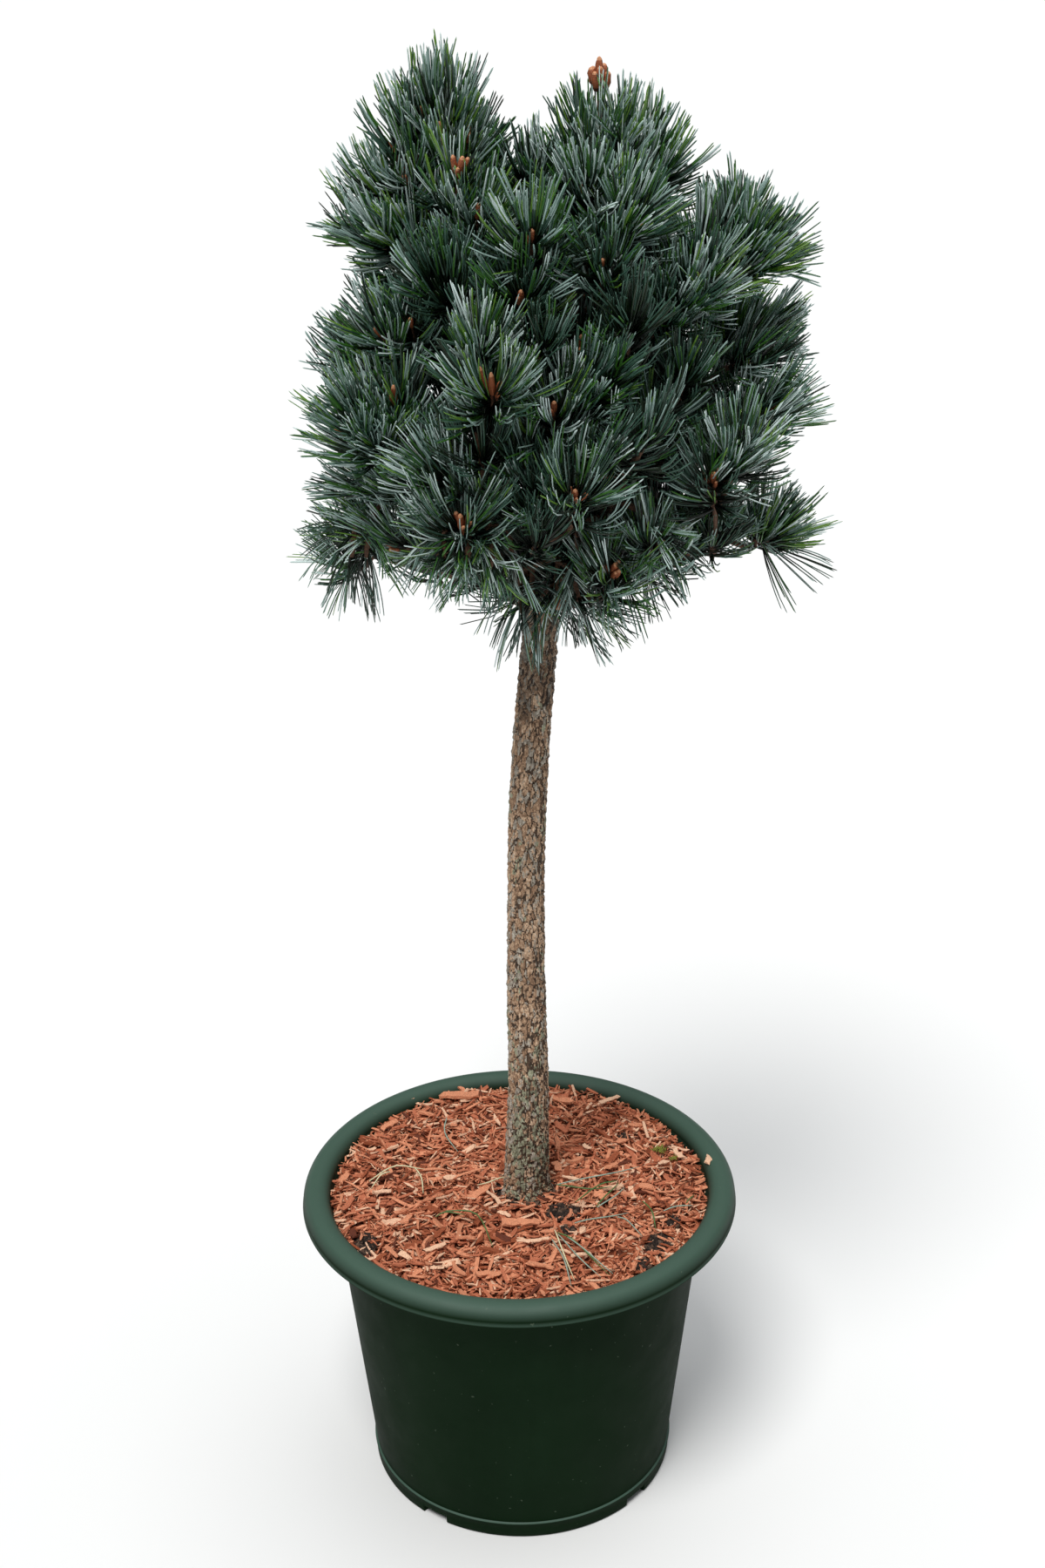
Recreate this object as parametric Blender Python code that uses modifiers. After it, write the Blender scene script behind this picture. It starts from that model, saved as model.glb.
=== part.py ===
"""Potted Japanese white pine.

A young two-topped white pine in a round green nursery pot, about 1.36 m tall.
Metres, +Z up.  The origin is the centre of the pot's underside; +X is to the
right and -Y to the front of the side on which both tops show.

The pieces:
  pot      moulded tub with a rolled rim, a foot ring with drainage notches
  soil_and_mulch  the potting soil that fills the tub, with wood chips on top
  trunk    one tapering stem from a flat cut at the mulch up to the right top
  bough_*  the main limbs, each one tapering piece
  mass_*   the clumps of needles, each one closed uneven solid
"""
import math

import bmesh
import bpy
from mathutils import Matrix, Vector, noise

# ---------------------------------------------------------------- sizes
GAP = 0.0003            # clearance between pieces that touch

# pot
POT_SEGMENTS = 32
RIM_RADIUS = 0.1969     # middle of the rolled rim
RIM_ROLL = 0.0131       # radius of the roll, outside
RIM_LEVEL = 0.29925     # height of the roll's centre
RIM_LIP = 0.0050        # how far the lip hangs below that
SHEET = 0.0026          # thickness of the moulding
WALL_TOP = 0.2815       # where the wall flares out to the rim
WALL_TOP_RADIUS = 0.1782
FOOT_LEVEL = 0.0175     # the step above the foot ring
FOOT_RADIUS = 0.1493
BASE_RADIUS = 0.1499
RECESS = 0.0090         # height of the hollow under the base
RING_INNER = 0.1290     # inner radius of the foot ring
BOSS_RADIUS = 0.0500    # flat boss in the middle of the underside
FLOOR = 0.0120          # top of the pot's floor
NOTCH_WIDTH = 0.0280
NOTCH_HEIGHT = 0.0085
NOTCH_ANGLES = (-125.5, -41.8, 54.5, 138.2)   # degrees from +X

# soil and mulch
MULCH_LEVEL = 0.3000    # ground level at the trunk
MULCH_RISE = 0.0050     # the surface stands this much higher at the back
MULCH_BUMP = 0.0030
MULCH_RADIUS = 0.1812
FOOT_FLAT = 0.0460      # flat round the foot of the trunk

# trunk: height, offset to the right, radius
TRUNK = (
    (0.3003, 0.0066, 0.0240),
    (0.3120, 0.0068, 0.0218),
    (0.3400, 0.0078, 0.0205),
    (0.4120, 0.0098, 0.0190),
    (0.5000, 0.0090, 0.0179),
    (0.5800, 0.0094, 0.0171),
    (0.6700, 0.0107, 0.0165),
    (0.7400, 0.0140, 0.0162),
    (0.8200, 0.0200, 0.0156),
    (0.8900, 0.0260, 0.0146),
    (0.9600, 0.0290, 0.0132),
    (1.0300, 0.0330, 0.0115),
    (1.1000, 0.0440, 0.0092),
    (1.1700, 0.0580, 0.0070),
    (1.2300, 0.0690, 0.0048),
)
TRUNK_SIDES = 12
ROOT_LOBES = 5          # low swellings where the roots begin
ROOT_SWELL = 0.10

# boughs: name, limb that carries it, height where it leaves, direction
# (degrees from +X), reach from there, height of the tip, radius at root
# and tip, upward bow
BOUGHS = (
    ("leader_left", "trunk", 1.000, 178, 0.082, 1.235, 0.0100, 0.0042, -0.012),
    ("left_upper", "leader_left", 1.130, 182, 0.070, 1.190, 0.0058, 0.0034, 0.000),
    ("right_upper", "trunk", 1.075, 1, 0.118, 1.170, 0.0070, 0.0036, -0.010),
    ("front_upper", "trunk", 1.020, -105, 0.095, 1.130, 0.0075, 0.0038, -0.012),
    ("back_upper", "trunk", 1.035, 88, 0.080, 1.150, 0.0070, 0.0038, -0.010),
    ("left_mid", "trunk", 0.955, 190, 0.120, 1.070, 0.0080, 0.0036, -0.014),
    ("right_mid", "trunk", 0.970, -6, 0.128, 1.060, 0.0080, 0.0036, -0.012),
    ("front_left", "trunk", 0.925, -122, 0.120, 1.005, 0.0075, 0.0036, -0.014),
    ("front_right", "trunk", 0.940, -62, 0.108, 1.015, 0.0075, 0.0036, -0.012),
    ("back_left", "trunk", 0.930, 133, 0.120, 1.030, 0.0078, 0.0036, -0.012),
    ("back_right", "trunk", 0.950, 52, 0.120, 1.040, 0.0078, 0.0036, -0.012),
    ("left_low", "trunk", 0.895, 186, 0.142, 0.948, 0.0074, 0.0034, 0.008),
    ("right_low", "trunk", 0.905, 2, 0.150, 0.952, 0.0074, 0.0034, 0.012),
    ("front_low", "trunk", 0.890, -75, 0.070, 0.938, 0.0055, 0.0032, 0.004),
)
BOUGH_POINTS = 6

# masses: name, bough that carries it, centre, size, how much longer than
# wide it is along its way of growing
MASSES = (
    ("top_left", "leader_left", (-0.050, 0.000, 1.297), 0.044, 1.15),
    ("spire_front", "leader_left", (-0.030, -0.045, 1.252), 0.046, 1.10),
    ("spire_back", "leader_left", (-0.042, 0.048, 1.256), 0.048, 1.10),
    ("left_shoulder", "leader_left", (-0.090, 0.000, 1.240), 0.042, 1.15),
    ("top_right", "trunk", (0.078, 0.000, 1.286), 0.043, 1.15),
    ("top_middle", "trunk", (0.020, 0.006, 1.246), 0.042, 1.10),
    ("right_shoulder", "trunk", (0.116, 0.012, 1.256), 0.043, 1.15),
    ("right_front_top", "trunk", (0.078, -0.054, 1.240), 0.046, 1.10),
    ("left_wing", "left_upper", (-0.104, -0.012, 1.188), 0.049, 1.15),
    ("left_wing_back", "left_upper", (-0.086, 0.064, 1.190), 0.052, 1.10),
    ("right_far", "right_upper", (0.186, 0.000, 1.192), 0.050, 1.15),
    ("right_wing", "right_upper", (0.138, -0.048, 1.198), 0.047, 1.10),
    ("front_left_upper", "front_upper", (-0.046, -0.082, 1.190), 0.050, 1.10),
    ("front_middle_upper", "front_upper", (0.014, -0.106, 1.192), 0.050, 1.15),
    ("front_right_upper", "front_upper", (0.074, -0.098, 1.196), 0.046, 1.10),
    ("front_middle", "front_upper", (-0.012, -0.142, 1.124), 0.055, 1.15),
    ("back_upper_left", "back_upper", (-0.030, 0.112, 1.205), 0.062, 1.10),
    ("back_upper_right", "back_upper", (0.072, 0.096, 1.222), 0.064, 1.10),
    ("back_middle", "back_upper", (0.028, 0.150, 1.125), 0.060, 1.15),
    ("left_mid_upper", "left_mid", (-0.076, -0.066, 1.140), 0.049, 1.10),
    ("left_edge", "left_mid", (-0.112, -0.010, 1.108), 0.050, 1.15),
    ("left_mid_front", "left_mid", (-0.080, -0.096, 1.072), 0.052, 1.10),
    ("left_mid_back", "left_mid", (-0.100, 0.066, 1.106), 0.055, 1.10),
    ("right_mid_upper", "right_mid", (0.138, -0.070, 1.138), 0.052, 1.10),
    ("right_edge", "right_mid", (0.196, -0.020, 1.068), 0.052, 1.15),
    ("right_edge_upper", "right_mid", (0.196, 0.050, 1.126), 0.050, 1.15),
    ("right_mid_front", "right_mid", (0.150, -0.095, 1.064), 0.052, 1.10),
    ("front_left_low", "front_left", (-0.036, -0.140, 1.036), 0.060, 1.15),
    ("left_low_front", "front_left", (-0.096, -0.074, 1.014), 0.050, 1.15),
    ("front_right_mid", "front_right", (0.058, -0.146, 1.058), 0.060, 1.15),
    ("front_middle_right", "front_right", (0.062, -0.120, 1.130), 0.050, 1.10),
    ("front_right_low", "front_right", (0.088, -0.112, 0.984), 0.055, 1.15),
    ("back_left", "back_left", (-0.062, 0.134, 1.100), 0.064, 1.15),
    ("back_left_low", "back_left", (-0.060, 0.094, 1.000), 0.060, 1.10),
    ("back_right", "back_right", (0.120, 0.124, 1.120), 0.066, 1.15),
    ("back_right_low", "back_right", (0.108, 0.104, 1.010), 0.062, 1.10),
    ("back_low", "back_right", (0.026, 0.118, 1.030), 0.058, 1.10),
    ("left_low_tip", "left_low", (-0.122, -0.012, 0.984), 0.046, 1.15),
    ("left_droop", "left_low", (-0.126, -0.026, 0.916), 0.034, 1.10),
    ("middle_low", "left_low", (-0.040, 0.000, 0.960), 0.048, 1.00),
    ("right_low_tip", "right_low", (0.208, 0.000, 0.964), 0.048, 1.10),
    ("right_low_middle", "right_low", (0.144, -0.048, 0.992), 0.048, 1.10),
    ("front_low", "front_low", (0.040, -0.090, 0.928), 0.048, 1.10),
)
MASS_AROUND = 12        # faces round and along each mass
MASS_ALONG = 6
MASS_ROUGH = 0.20       # how uneven a mass is
MASS_CLEAR = 0.0010     # space between two masses that meet
LIMB_CLEAR = 0.0006     # space between a mass and a limb

# ---------------------------------------------------------------- colours
POT_GREEN = (0.030, 0.060, 0.036, 1.0)
MULCH_RED = (0.420, 0.180, 0.095, 1.0)
BARK = (0.190, 0.135, 0.105, 1.0)
NEEDLE = (0.085, 0.160, 0.125, 1.0)


# ---------------------------------------------------------------- helpers
def clear_scene():
    for thing in list(bpy.data.objects):
        bpy.data.objects.remove(thing, do_unlink=True)


def collection(name):
    group = bpy.data.collections.new(name)
    bpy.context.scene.collection.children.link(group)
    return group


def material(name, colour, roughness, metallic=0.0):
    mat = bpy.data.materials.new(name)
    mat.use_nodes = True
    shader = mat.node_tree.nodes["Principled BSDF"]
    shader.inputs["Base Color"].default_value = colour
    shader.inputs["Roughness"].default_value = roughness
    shader.inputs["Metallic"].default_value = metallic
    mat.diffuse_color = colour
    return mat


def place(name, mesh, group, colour, roughness, smooth=True):
    obj = bpy.data.objects.new(name, mesh)
    group.objects.link(obj)
    mesh.materials.append(material(name + "_finish", colour, roughness))
    if smooth:
        mesh.shade_smooth()
        mesh.set_sharp_from_angle(angle=math.radians(45))
    return obj


def evaluated_mesh(obj, name):
    graph = bpy.context.evaluated_depsgraph_get()
    graph.update()
    return bpy.data.meshes.new_from_object(obj.evaluated_get(graph), depsgraph=graph)


def profile_object(name, points, group):
    """An open outline in the XZ plane, turned round Z by a Screw modifier."""
    mesh = bpy.data.meshes.new(name)
    bm = bmesh.new()
    verts = [bm.verts.new((x, 0.0, z)) for x, z in points]
    for a, b in zip(verts, verts[1:]):
        bm.edges.new((a, b))
    bm.to_mesh(mesh)
    bm.free()
    obj = bpy.data.objects.new(name, mesh)
    group.objects.link(obj)
    screw = obj.modifiers.new("turn", "SCREW")
    screw.steps = POT_SEGMENTS
    screw.render_steps = POT_SEGMENTS
    screw.use_merge_vertices = True
    screw.merge_threshold = 0.00005
    return obj


# ---------------------------------------------------------------- pot
def wall_radius(z, inside):
    """Radius of the pot's wall at a height, outside or inside."""
    shift = SHEET if inside else 0.0
    if z <= WALL_TOP:
        share = (z - FOOT_LEVEL) / (WALL_TOP - FOOT_LEVEL)
        return FOOT_RADIUS + share * (WALL_TOP_RADIUS - FOOT_RADIUS) - shift
    share = (z - WALL_TOP) / (RIM_LEVEL - WALL_TOP)
    outer = RIM_RADIUS - RIM_ROLL + SHEET
    return WALL_TOP_RADIUS + share * (outer - WALL_TOP_RADIUS) - shift


def arc(radius, start, end, steps):
    for k in range(steps + 1):
        a = math.radians(start + (end - start) * k / steps)
        yield RIM_RADIUS + radius * math.cos(a), RIM_LEVEL + radius * math.sin(a)


def pot_profile():
    yield 0.0, FLOOR
    yield wall_radius(FLOOR, True) - 0.0035, FLOOR
    yield wall_radius(FLOOR + 0.0035, True), FLOOR + 0.0035
    yield wall_radius(WALL_TOP, True), WALL_TOP
    yield from arc(RIM_ROLL, 180, 0, 8)
    yield RIM_RADIUS + RIM_ROLL, RIM_LEVEL - RIM_LIP
    yield RIM_RADIUS + RIM_ROLL - SHEET, RIM_LEVEL - RIM_LIP
    yield from arc(RIM_ROLL - SHEET, 0, 180, 5)
    yield WALL_TOP_RADIUS, WALL_TOP
    yield FOOT_RADIUS, FOOT_LEVEL
    yield BASE_RADIUS + 0.0008, FOOT_LEVEL - 0.0016
    yield BASE_RADIUS, 0.0014
    yield BASE_RADIUS - 0.0014, 0.0
    yield RING_INNER, 0.0
    yield RING_INNER - 0.0015, RECESS
    yield BOSS_RADIUS + 0.0015, RECESS
    yield BOSS_RADIUS, 0.0
    yield 0.0, 0.0


def build_pot(group, cutters):
    turned = profile_object("pot_profile", list(pot_profile()), cutters)
    mesh = evaluated_mesh(turned, "pot")
    bpy.data.objects.remove(turned, do_unlink=True)
    pot = place("pot", mesh, group, POT_GREEN, 0.42)
    for k, degrees in enumerate(NOTCH_ANGLES):
        bm = bmesh.new()
        bmesh.ops.create_cube(bm, size=1.0)
        length = BASE_RADIUS - RING_INNER + 0.024
        bmesh.ops.scale(bm, verts=bm.verts, vec=(length, NOTCH_WIDTH, 2 * NOTCH_HEIGHT))
        cut_mesh = bpy.data.meshes.new("notch_%d" % k)
        bm.to_mesh(cut_mesh)
        bm.free()
        cutter = bpy.data.objects.new("notch_%d" % k, cut_mesh)
        cutters.objects.link(cutter)
        turn = math.radians(degrees)
        middle = 0.5 * (BASE_RADIUS + RING_INNER)
        cutter.location = (middle * math.cos(turn), middle * math.sin(turn), 0.0)
        cutter.rotation_euler = (0.0, 0.0, turn)
        cutter.hide_render = True
        cutter.display_type = "WIRE"
        cut = pot.modifiers.new("notch_%d" % k, "BOOLEAN")
        cut.operation = "DIFFERENCE"
        cut.solver = "EXACT"
        cut.object = cutter
    return pot


# ---------------------------------------------------------------- soil and mulch
def mulch_height(x, y):
    """The bumpy surface, level round the trunk's foot."""
    reach = math.hypot(x - TRUNK[0][1], y)
    away = min(1.0, max(0.0, (reach - FOOT_FLAT) / 0.05))
    bump = noise.noise(Vector((x * 28.0, y * 28.0, 3.7)))
    return MULCH_LEVEL + away * (MULCH_RISE * y / RIM_RADIUS + MULCH_BUMP * bump)


def build_soil(group, cutters):
    clear = 2 * GAP
    points = [(0.0, MULCH_LEVEL)]
    points += [(r, MULCH_LEVEL) for r in (0.055, 0.090, 0.125, 0.155, MULCH_RADIUS)]
    points += [(wall_radius(WALL_TOP, True) - clear, WALL_TOP - 0.0010),
               (wall_radius(FLOOR + 0.0040, True) - clear, FLOOR + 0.0040),
               (wall_radius(FLOOR, True) - 0.0045, FLOOR + GAP),
               (0.0, FLOOR + GAP)]
    turned = profile_object("soil_profile", points, cutters)
    mesh = evaluated_mesh(turned, "soil_and_mulch")
    bpy.data.objects.remove(turned, do_unlink=True)
    for vert in mesh.vertices:
        if vert.co.z > MULCH_LEVEL - 0.001:
            vert.co.z = mulch_height(vert.co.x, vert.co.y)
    return place("soil_and_mulch", mesh, group, MULCH_RED, 0.9)


# ---------------------------------------------------------------- limbs
def limb_mesh(name, path, radii, sides, grow=0.0):
    """A tapering limb: a curve with a bevel, made a mesh with welded caps."""
    curve = bpy.data.curves.new(name, "CURVE")
    curve.dimensions = "3D"
    curve.bevel_depth = 1.0
    curve.bevel_resolution = max(0, (sides - 4) // 2)
    curve.use_fill_caps = True
    curve.twist_mode = "MINIMUM"
    spline = curve.splines.new("POLY")
    spline.points.add(len(path) - 1)
    for point, co, radius in zip(spline.points, path, radii):
        point.co = (co[0], co[1], co[2], 1.0)
        point.radius = radius + grow
    temp = bpy.data.objects.new(name, curve)
    bpy.context.scene.collection.objects.link(temp)
    mesh = evaluated_mesh(temp, name)
    bpy.data.objects.remove(temp, do_unlink=True)
    bm = bmesh.new()
    bm.from_mesh(mesh)
    bmesh.ops.remove_doubles(bm, verts=bm.verts, dist=0.00005)
    bmesh.ops.recalc_face_normals(bm, faces=bm.faces)
    bm.to_mesh(mesh)
    bm.free()
    mesh.name = name
    return mesh


def trunk_path():
    path = [Vector((x, 0.0, z)) for z, x, r in TRUNK]
    return path, [r for z, x, r in TRUNK]


def flare(mesh):
    """Low root swellings at the foot, which is cut flat at ground level."""
    ground = TRUNK[0][0]
    for vert in mesh.vertices:
        rise = vert.co.z - ground
        if rise < 0.02:
            axis = Vector((TRUNK[0][1], 0.0, 0.0))
            out = Vector((vert.co.x, vert.co.y, 0.0)) - axis
            angle = math.atan2(out.y, out.x)
            swell = 1.0 + ROOT_SWELL * (1.0 - rise / 0.02) * math.cos(ROOT_LOBES * angle + 0.6)
            vert.co.x = axis.x + out.x * swell
            vert.co.y = axis.y + out.y * swell
            if rise < 0.002:
                vert.co.z = ground


def point_at_height(path, radii, height):
    for k in range(len(path) - 1):
        if path[k].z <= height <= path[k + 1].z:
            share = (height - path[k].z) / (path[k + 1].z - path[k].z)
            return path[k].lerp(path[k + 1], share), radii[k] + share * (radii[k + 1] - radii[k])
    return path[-1].copy(), radii[-1]


def bough_path(row, limbs):
    name, carrier, height, azimuth, reach, tip_z, root_r, tip_r, bow = row
    start, thick = point_at_height(*limbs[carrier], height)
    turn = math.radians(azimuth)
    start += Vector((math.cos(turn), math.sin(turn), 0.0)) * (0.35 * thick)
    tip = start + Vector((math.cos(turn) * reach, math.sin(turn) * reach, tip_z - start.z))
    path, radii = [], []
    for k in range(BOUGH_POINTS):
        share = k / (BOUGH_POINTS - 1)
        spot = start.lerp(tip, share)
        spot.z += 4.0 * bow * share * (1.0 - share)
        sway = 0.004 * math.sin(math.pi * share * 2.0 + azimuth)
        spot.x -= math.sin(turn) * sway
        spot.y += math.cos(turn) * sway
        path.append(spot)
        radii.append(root_r + share * (tip_r - root_r))
    return path, radii


def build_limbs(group, cutters):
    limbs = {"trunk": trunk_path()}
    mesh = limb_mesh("trunk", *limbs["trunk"], TRUNK_SIDES)
    flare(mesh)
    place("trunk", mesh, group, BARK, 0.85)
    fat = {}
    for row in BOUGHS:
        limbs[row[0]] = bough_path(row, limbs)
    for carrier in sorted({row[1] for row in BOUGHS}):
        sides = TRUNK_SIDES if carrier == "trunk" else 8
        cut_mesh = limb_mesh("round_" + carrier, *limbs[carrier], sides, grow=GAP * 1.3)
        cutter = bpy.data.objects.new("round_" + carrier, cut_mesh)
        cutters.objects.link(cutter)
        cutter.hide_render = True
        cutter.display_type = "WIRE"
        fat[carrier] = cutter
    for row in BOUGHS:
        path, radii = limbs[row[0]]
        mesh = limb_mesh("bough_" + row[0], path, radii, 8)
        bough = place("bough_" + row[0], mesh, group, BARK, 0.85)
        cut = bough.modifiers.new("seat", "BOOLEAN")
        cut.operation = "DIFFERENCE"
        cut.solver = "EXACT"
        cut.object = fat[row[1]]
    return limbs


# ---------------------------------------------------------------- masses
def limb_samples(limbs):
    """Points along every limb with the limb's radius there."""
    samples = []
    for path, radii in limbs.values():
        for a, b, ra, rb in zip(path, path[1:], radii, radii[1:]):
            count = max(2, int((b - a).length / 0.008))
            for k in range(count + 1):
                share = k / count
                samples.append((a.lerp(b, share), ra + share * (rb - ra)))
    return samples


def side_planes(index, centres, samples):
    """Planes that a mass may not cross: half way to each neighbour, by size,
    and the near side of each limb."""
    centre, size = centres[index]
    planes = []
    for other, (spot, span) in enumerate(centres):
        if other == index:
            continue
        way = spot - centre
        far = way.length
        if far > 2.2 * (size + span):
            continue
        planes.append((way / far, 0.5 * (far + (size * size - span * span) / far)
                       - 0.5 * MASS_CLEAR))
    for spot, radius in samples:
        way = spot - centre
        far = way.length
        reach = far - radius - LIMB_CLEAR
        if reach < 2.0 * size:
            planes.append((way / far, reach))
    return planes


def mass_reach(direction, grow, size, longer, seed):
    """Uneven outline of a clump of needle brushes."""
    along = direction.dot(grow)
    across = math.sqrt(max(0.0, 1.0 - along * along))
    base = size / math.sqrt((along / longer) ** 2 + across ** 2)
    spot = direction * 1.7 + Vector((seed * 3.1, seed * 1.7, seed * 2.3))
    uneven = noise.noise(spot) + 0.5 * noise.noise(spot * 2.3)
    return base * (1.08 + MASS_ROUGH * uneven + 0.06 * along)


def build_masses(group, limbs):
    centres = [(Vector(row[2]), row[3]) for row in MASSES]
    samples = limb_samples(limbs)
    for index, (name, carrier, centre, size, longer) in enumerate(MASSES):
        middle = Vector(centre)
        path, _ = limbs[carrier]
        grow = ((middle - path[-1]).normalized() + Vector((0.0, 0.0, 0.6))).normalized()
        planes = side_planes(index, centres, samples)
        bm = bmesh.new()
        bmesh.ops.create_uvsphere(bm, u_segments=MASS_AROUND, v_segments=MASS_ALONG, radius=1.0)
        turn = Vector((0.0, 0.0, 1.0)).rotation_difference(grow).to_matrix()
        for vert in bm.verts:
            way = (turn @ vert.co).normalized()
            reach = mass_reach(way, grow, size, longer, index + 1)
            for normal, limit in planes:
                toward = way.dot(normal)
                if toward > 0.001:
                    reach = min(reach, limit / toward)
            vert.co = middle + way * reach
        mesh = bpy.data.meshes.new("mass_" + name)
        bm.to_mesh(mesh)
        bm.free()
        place("mass_" + name, mesh, group, NEEDLE, 0.7)


# ---------------------------------------------------------------- build
def main():
    clear_scene()
    parts = collection("potted_japanese_white_pine")
    cutters = collection("cutters")
    build_pot(parts, cutters)
    build_soil(parts, cutters)
    limbs = build_limbs(parts, cutters)
    build_masses(parts, limbs)


main()
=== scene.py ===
import math

import bpy
import numpy as np
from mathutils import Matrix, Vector, noise
from mathutils.bvhtree import BVHTree


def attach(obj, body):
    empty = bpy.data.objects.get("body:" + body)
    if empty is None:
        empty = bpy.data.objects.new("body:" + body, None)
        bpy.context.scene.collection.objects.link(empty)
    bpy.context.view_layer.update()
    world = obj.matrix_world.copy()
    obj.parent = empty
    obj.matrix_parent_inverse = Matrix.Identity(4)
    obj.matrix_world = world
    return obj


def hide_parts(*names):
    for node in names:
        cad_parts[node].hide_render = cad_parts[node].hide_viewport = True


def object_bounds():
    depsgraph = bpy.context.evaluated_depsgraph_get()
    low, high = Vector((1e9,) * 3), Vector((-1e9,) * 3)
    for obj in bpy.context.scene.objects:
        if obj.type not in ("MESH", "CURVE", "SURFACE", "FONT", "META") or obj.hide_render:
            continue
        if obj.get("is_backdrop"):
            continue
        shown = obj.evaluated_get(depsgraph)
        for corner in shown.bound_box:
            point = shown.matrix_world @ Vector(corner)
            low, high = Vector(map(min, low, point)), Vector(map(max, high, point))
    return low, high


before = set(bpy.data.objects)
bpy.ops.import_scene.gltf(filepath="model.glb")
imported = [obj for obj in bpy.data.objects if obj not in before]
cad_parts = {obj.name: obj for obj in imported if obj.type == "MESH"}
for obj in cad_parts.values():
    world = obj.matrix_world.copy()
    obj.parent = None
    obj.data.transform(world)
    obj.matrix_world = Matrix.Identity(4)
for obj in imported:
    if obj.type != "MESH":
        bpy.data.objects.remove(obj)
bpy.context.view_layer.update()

RNG = np.random.default_rng(51907)
UP = np.array([0.0, 0.0, 1.0])

# ------------------------------------------------------------------ camera
# the picture is 1200 x 1800; the lens is 48 mm on a sensor 36 mm high
LENS_PX = 2400.0
CAM_BACK, CAM_HEIGHT = 1.72385, 1.46499
PITCH, YAW, ROLL = 0.40376, 0.00444, math.radians(-0.6555)


def camera_axes():
    right0 = np.array([math.cos(YAW), -math.sin(YAW), 0.0])
    ahead0 = np.array([math.sin(YAW), math.cos(YAW), 0.0])
    ahead = math.cos(PITCH) * ahead0 - math.sin(PITCH) * UP
    up0 = math.sin(PITCH) * ahead0 + math.cos(PITCH) * UP
    right = math.cos(ROLL) * right0 + math.sin(ROLL) * up0
    up = -math.sin(ROLL) * right0 + math.cos(ROLL) * up0
    return right, up, ahead


CAM_RIGHT, CAM_UP, CAM_AHEAD = camera_axes()
CAM_AT = np.array([0.0, -CAM_BACK, CAM_HEIGHT])


def ray(px, py):
    """Direction from the camera through a point of the picture."""
    way = CAM_AHEAD + (px - 600.0) / LENS_PX * CAM_RIGHT - (py - 900.0) / LENS_PX * CAM_UP
    return way / np.linalg.norm(way)


def make_camera():
    data = bpy.data.cameras.new("camera")
    data.lens = 48.0
    data.sensor_width = 36.0
    data.sensor_fit = "AUTO"
    data.clip_start, data.clip_end = 0.05, 60.0
    cam = bpy.data.objects.new("camera", data)
    bpy.context.scene.collection.objects.link(cam)
    rows = [[CAM_RIGHT[k], CAM_UP[k], -CAM_AHEAD[k], CAM_AT[k]] for k in range(3)]
    from mathutils import Matrix
    cam.matrix_world = Matrix(rows + [[0, 0, 0, 1]])
    bpy.context.scene.camera = cam


make_camera()


# ------------------------------------------------------------------ helpers
def unit(v):
    v = np.asarray(v, float)
    return v / max(1e-12, np.linalg.norm(v))


def units(v):
    return v / np.maximum(1e-12, np.linalg.norm(v, axis=-1, keepdims=True))


def mesh_object(name, co, faces, mats, face_mats=None, smooth=True):
    """A mesh from arrays: faces all have the same number of corners."""
    co = np.ascontiguousarray(co, np.float32)
    faces = np.ascontiguousarray(faces, np.int32)
    mesh = bpy.data.meshes.new(name)
    mesh.vertices.add(len(co))
    mesh.vertices.foreach_set("co", co.ravel())
    n = faces.shape[1]
    mesh.loops.add(faces.size)
    mesh.loops.foreach_set("vertex_index", faces.ravel())
    mesh.polygons.add(len(faces))
    mesh.polygons.foreach_set("loop_start", np.arange(0, faces.size, n, dtype=np.int32))
    for mat in mats:
        mesh.materials.append(mat)
    if face_mats is not None:
        mesh.polygons.foreach_set("material_index", np.ascontiguousarray(face_mats, np.int32))
    mesh.polygons.foreach_set("use_smooth", np.full(len(faces), smooth, dtype=bool))
    mesh.update(calc_edges=True)
    mesh.validate()
    obj = bpy.data.objects.new(name, mesh)
    bpy.context.scene.collection.objects.link(obj)
    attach(obj, "root")
    return obj


def frames_along(path):
    """Tangents and two normals along each point of a path (n, 3)."""
    t = np.gradient(path, axis=0)
    t = units(t)
    ref = np.array([1.0, 0.0, 0.0]) if abs(t[0][0]) < 0.8 else np.array([0.0, 1.0, 0.0])
    u = unit(np.cross(t[0], np.cross(ref, t[0])))
    us = []
    for k in range(len(path)):
        u = unit(u - t[k] * np.dot(u, t[k]))
        us.append(u)
    us = np.array(us)
    return t, us, np.cross(t, us)


def smooth_path(points, count):
    """Catmull-Rom through the points, read at even steps."""
    p = np.asarray(points, float)
    p = np.vstack([2 * p[0] - p[1], p, 2 * p[-1] - p[-2]])
    out = []
    segs = len(p) - 3
    for k in np.linspace(0, segs, count):
        i = min(int(k), segs - 1)
        s = k - i
        a, b, c, d = p[i], p[i + 1], p[i + 2], p[i + 3]
        out.append(0.5 * (2 * b + (c - a) * s + (2 * a - 5 * b + 4 * c - d) * s ** 2
                          + (3 * b - a - 3 * c + d) * s ** 3))
    return np.array(out)


def grid_faces(rows, cols, wrap=True):
    """Quads of a tube of rows rings with cols points each."""
    r = np.arange(rows - 1)[:, None]
    c = np.arange(cols if wrap else cols - 1)[None, :]
    n = (c + 1) % cols
    a = r * cols + c
    b = r * cols + n
    return np.stack([a, b, b + cols, a + cols], -1).reshape(-1, 4)


def tube_arrays(path, radii, cols, count):
    """Vertices and quads of a tube, its ends closed to points by the radii."""
    t, u, v = frames_along(path)
    a = np.linspace(0, 2 * math.pi, cols, endpoint=False)
    ring = (np.cos(a)[None, :, None] * u[:, None, :] + np.sin(a)[None, :, None] * v[:, None, :])
    co = path[:, None, :] + radii[:, None, None] * ring
    return co.reshape(-1, 3), grid_faces(len(path), cols) + count


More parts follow.
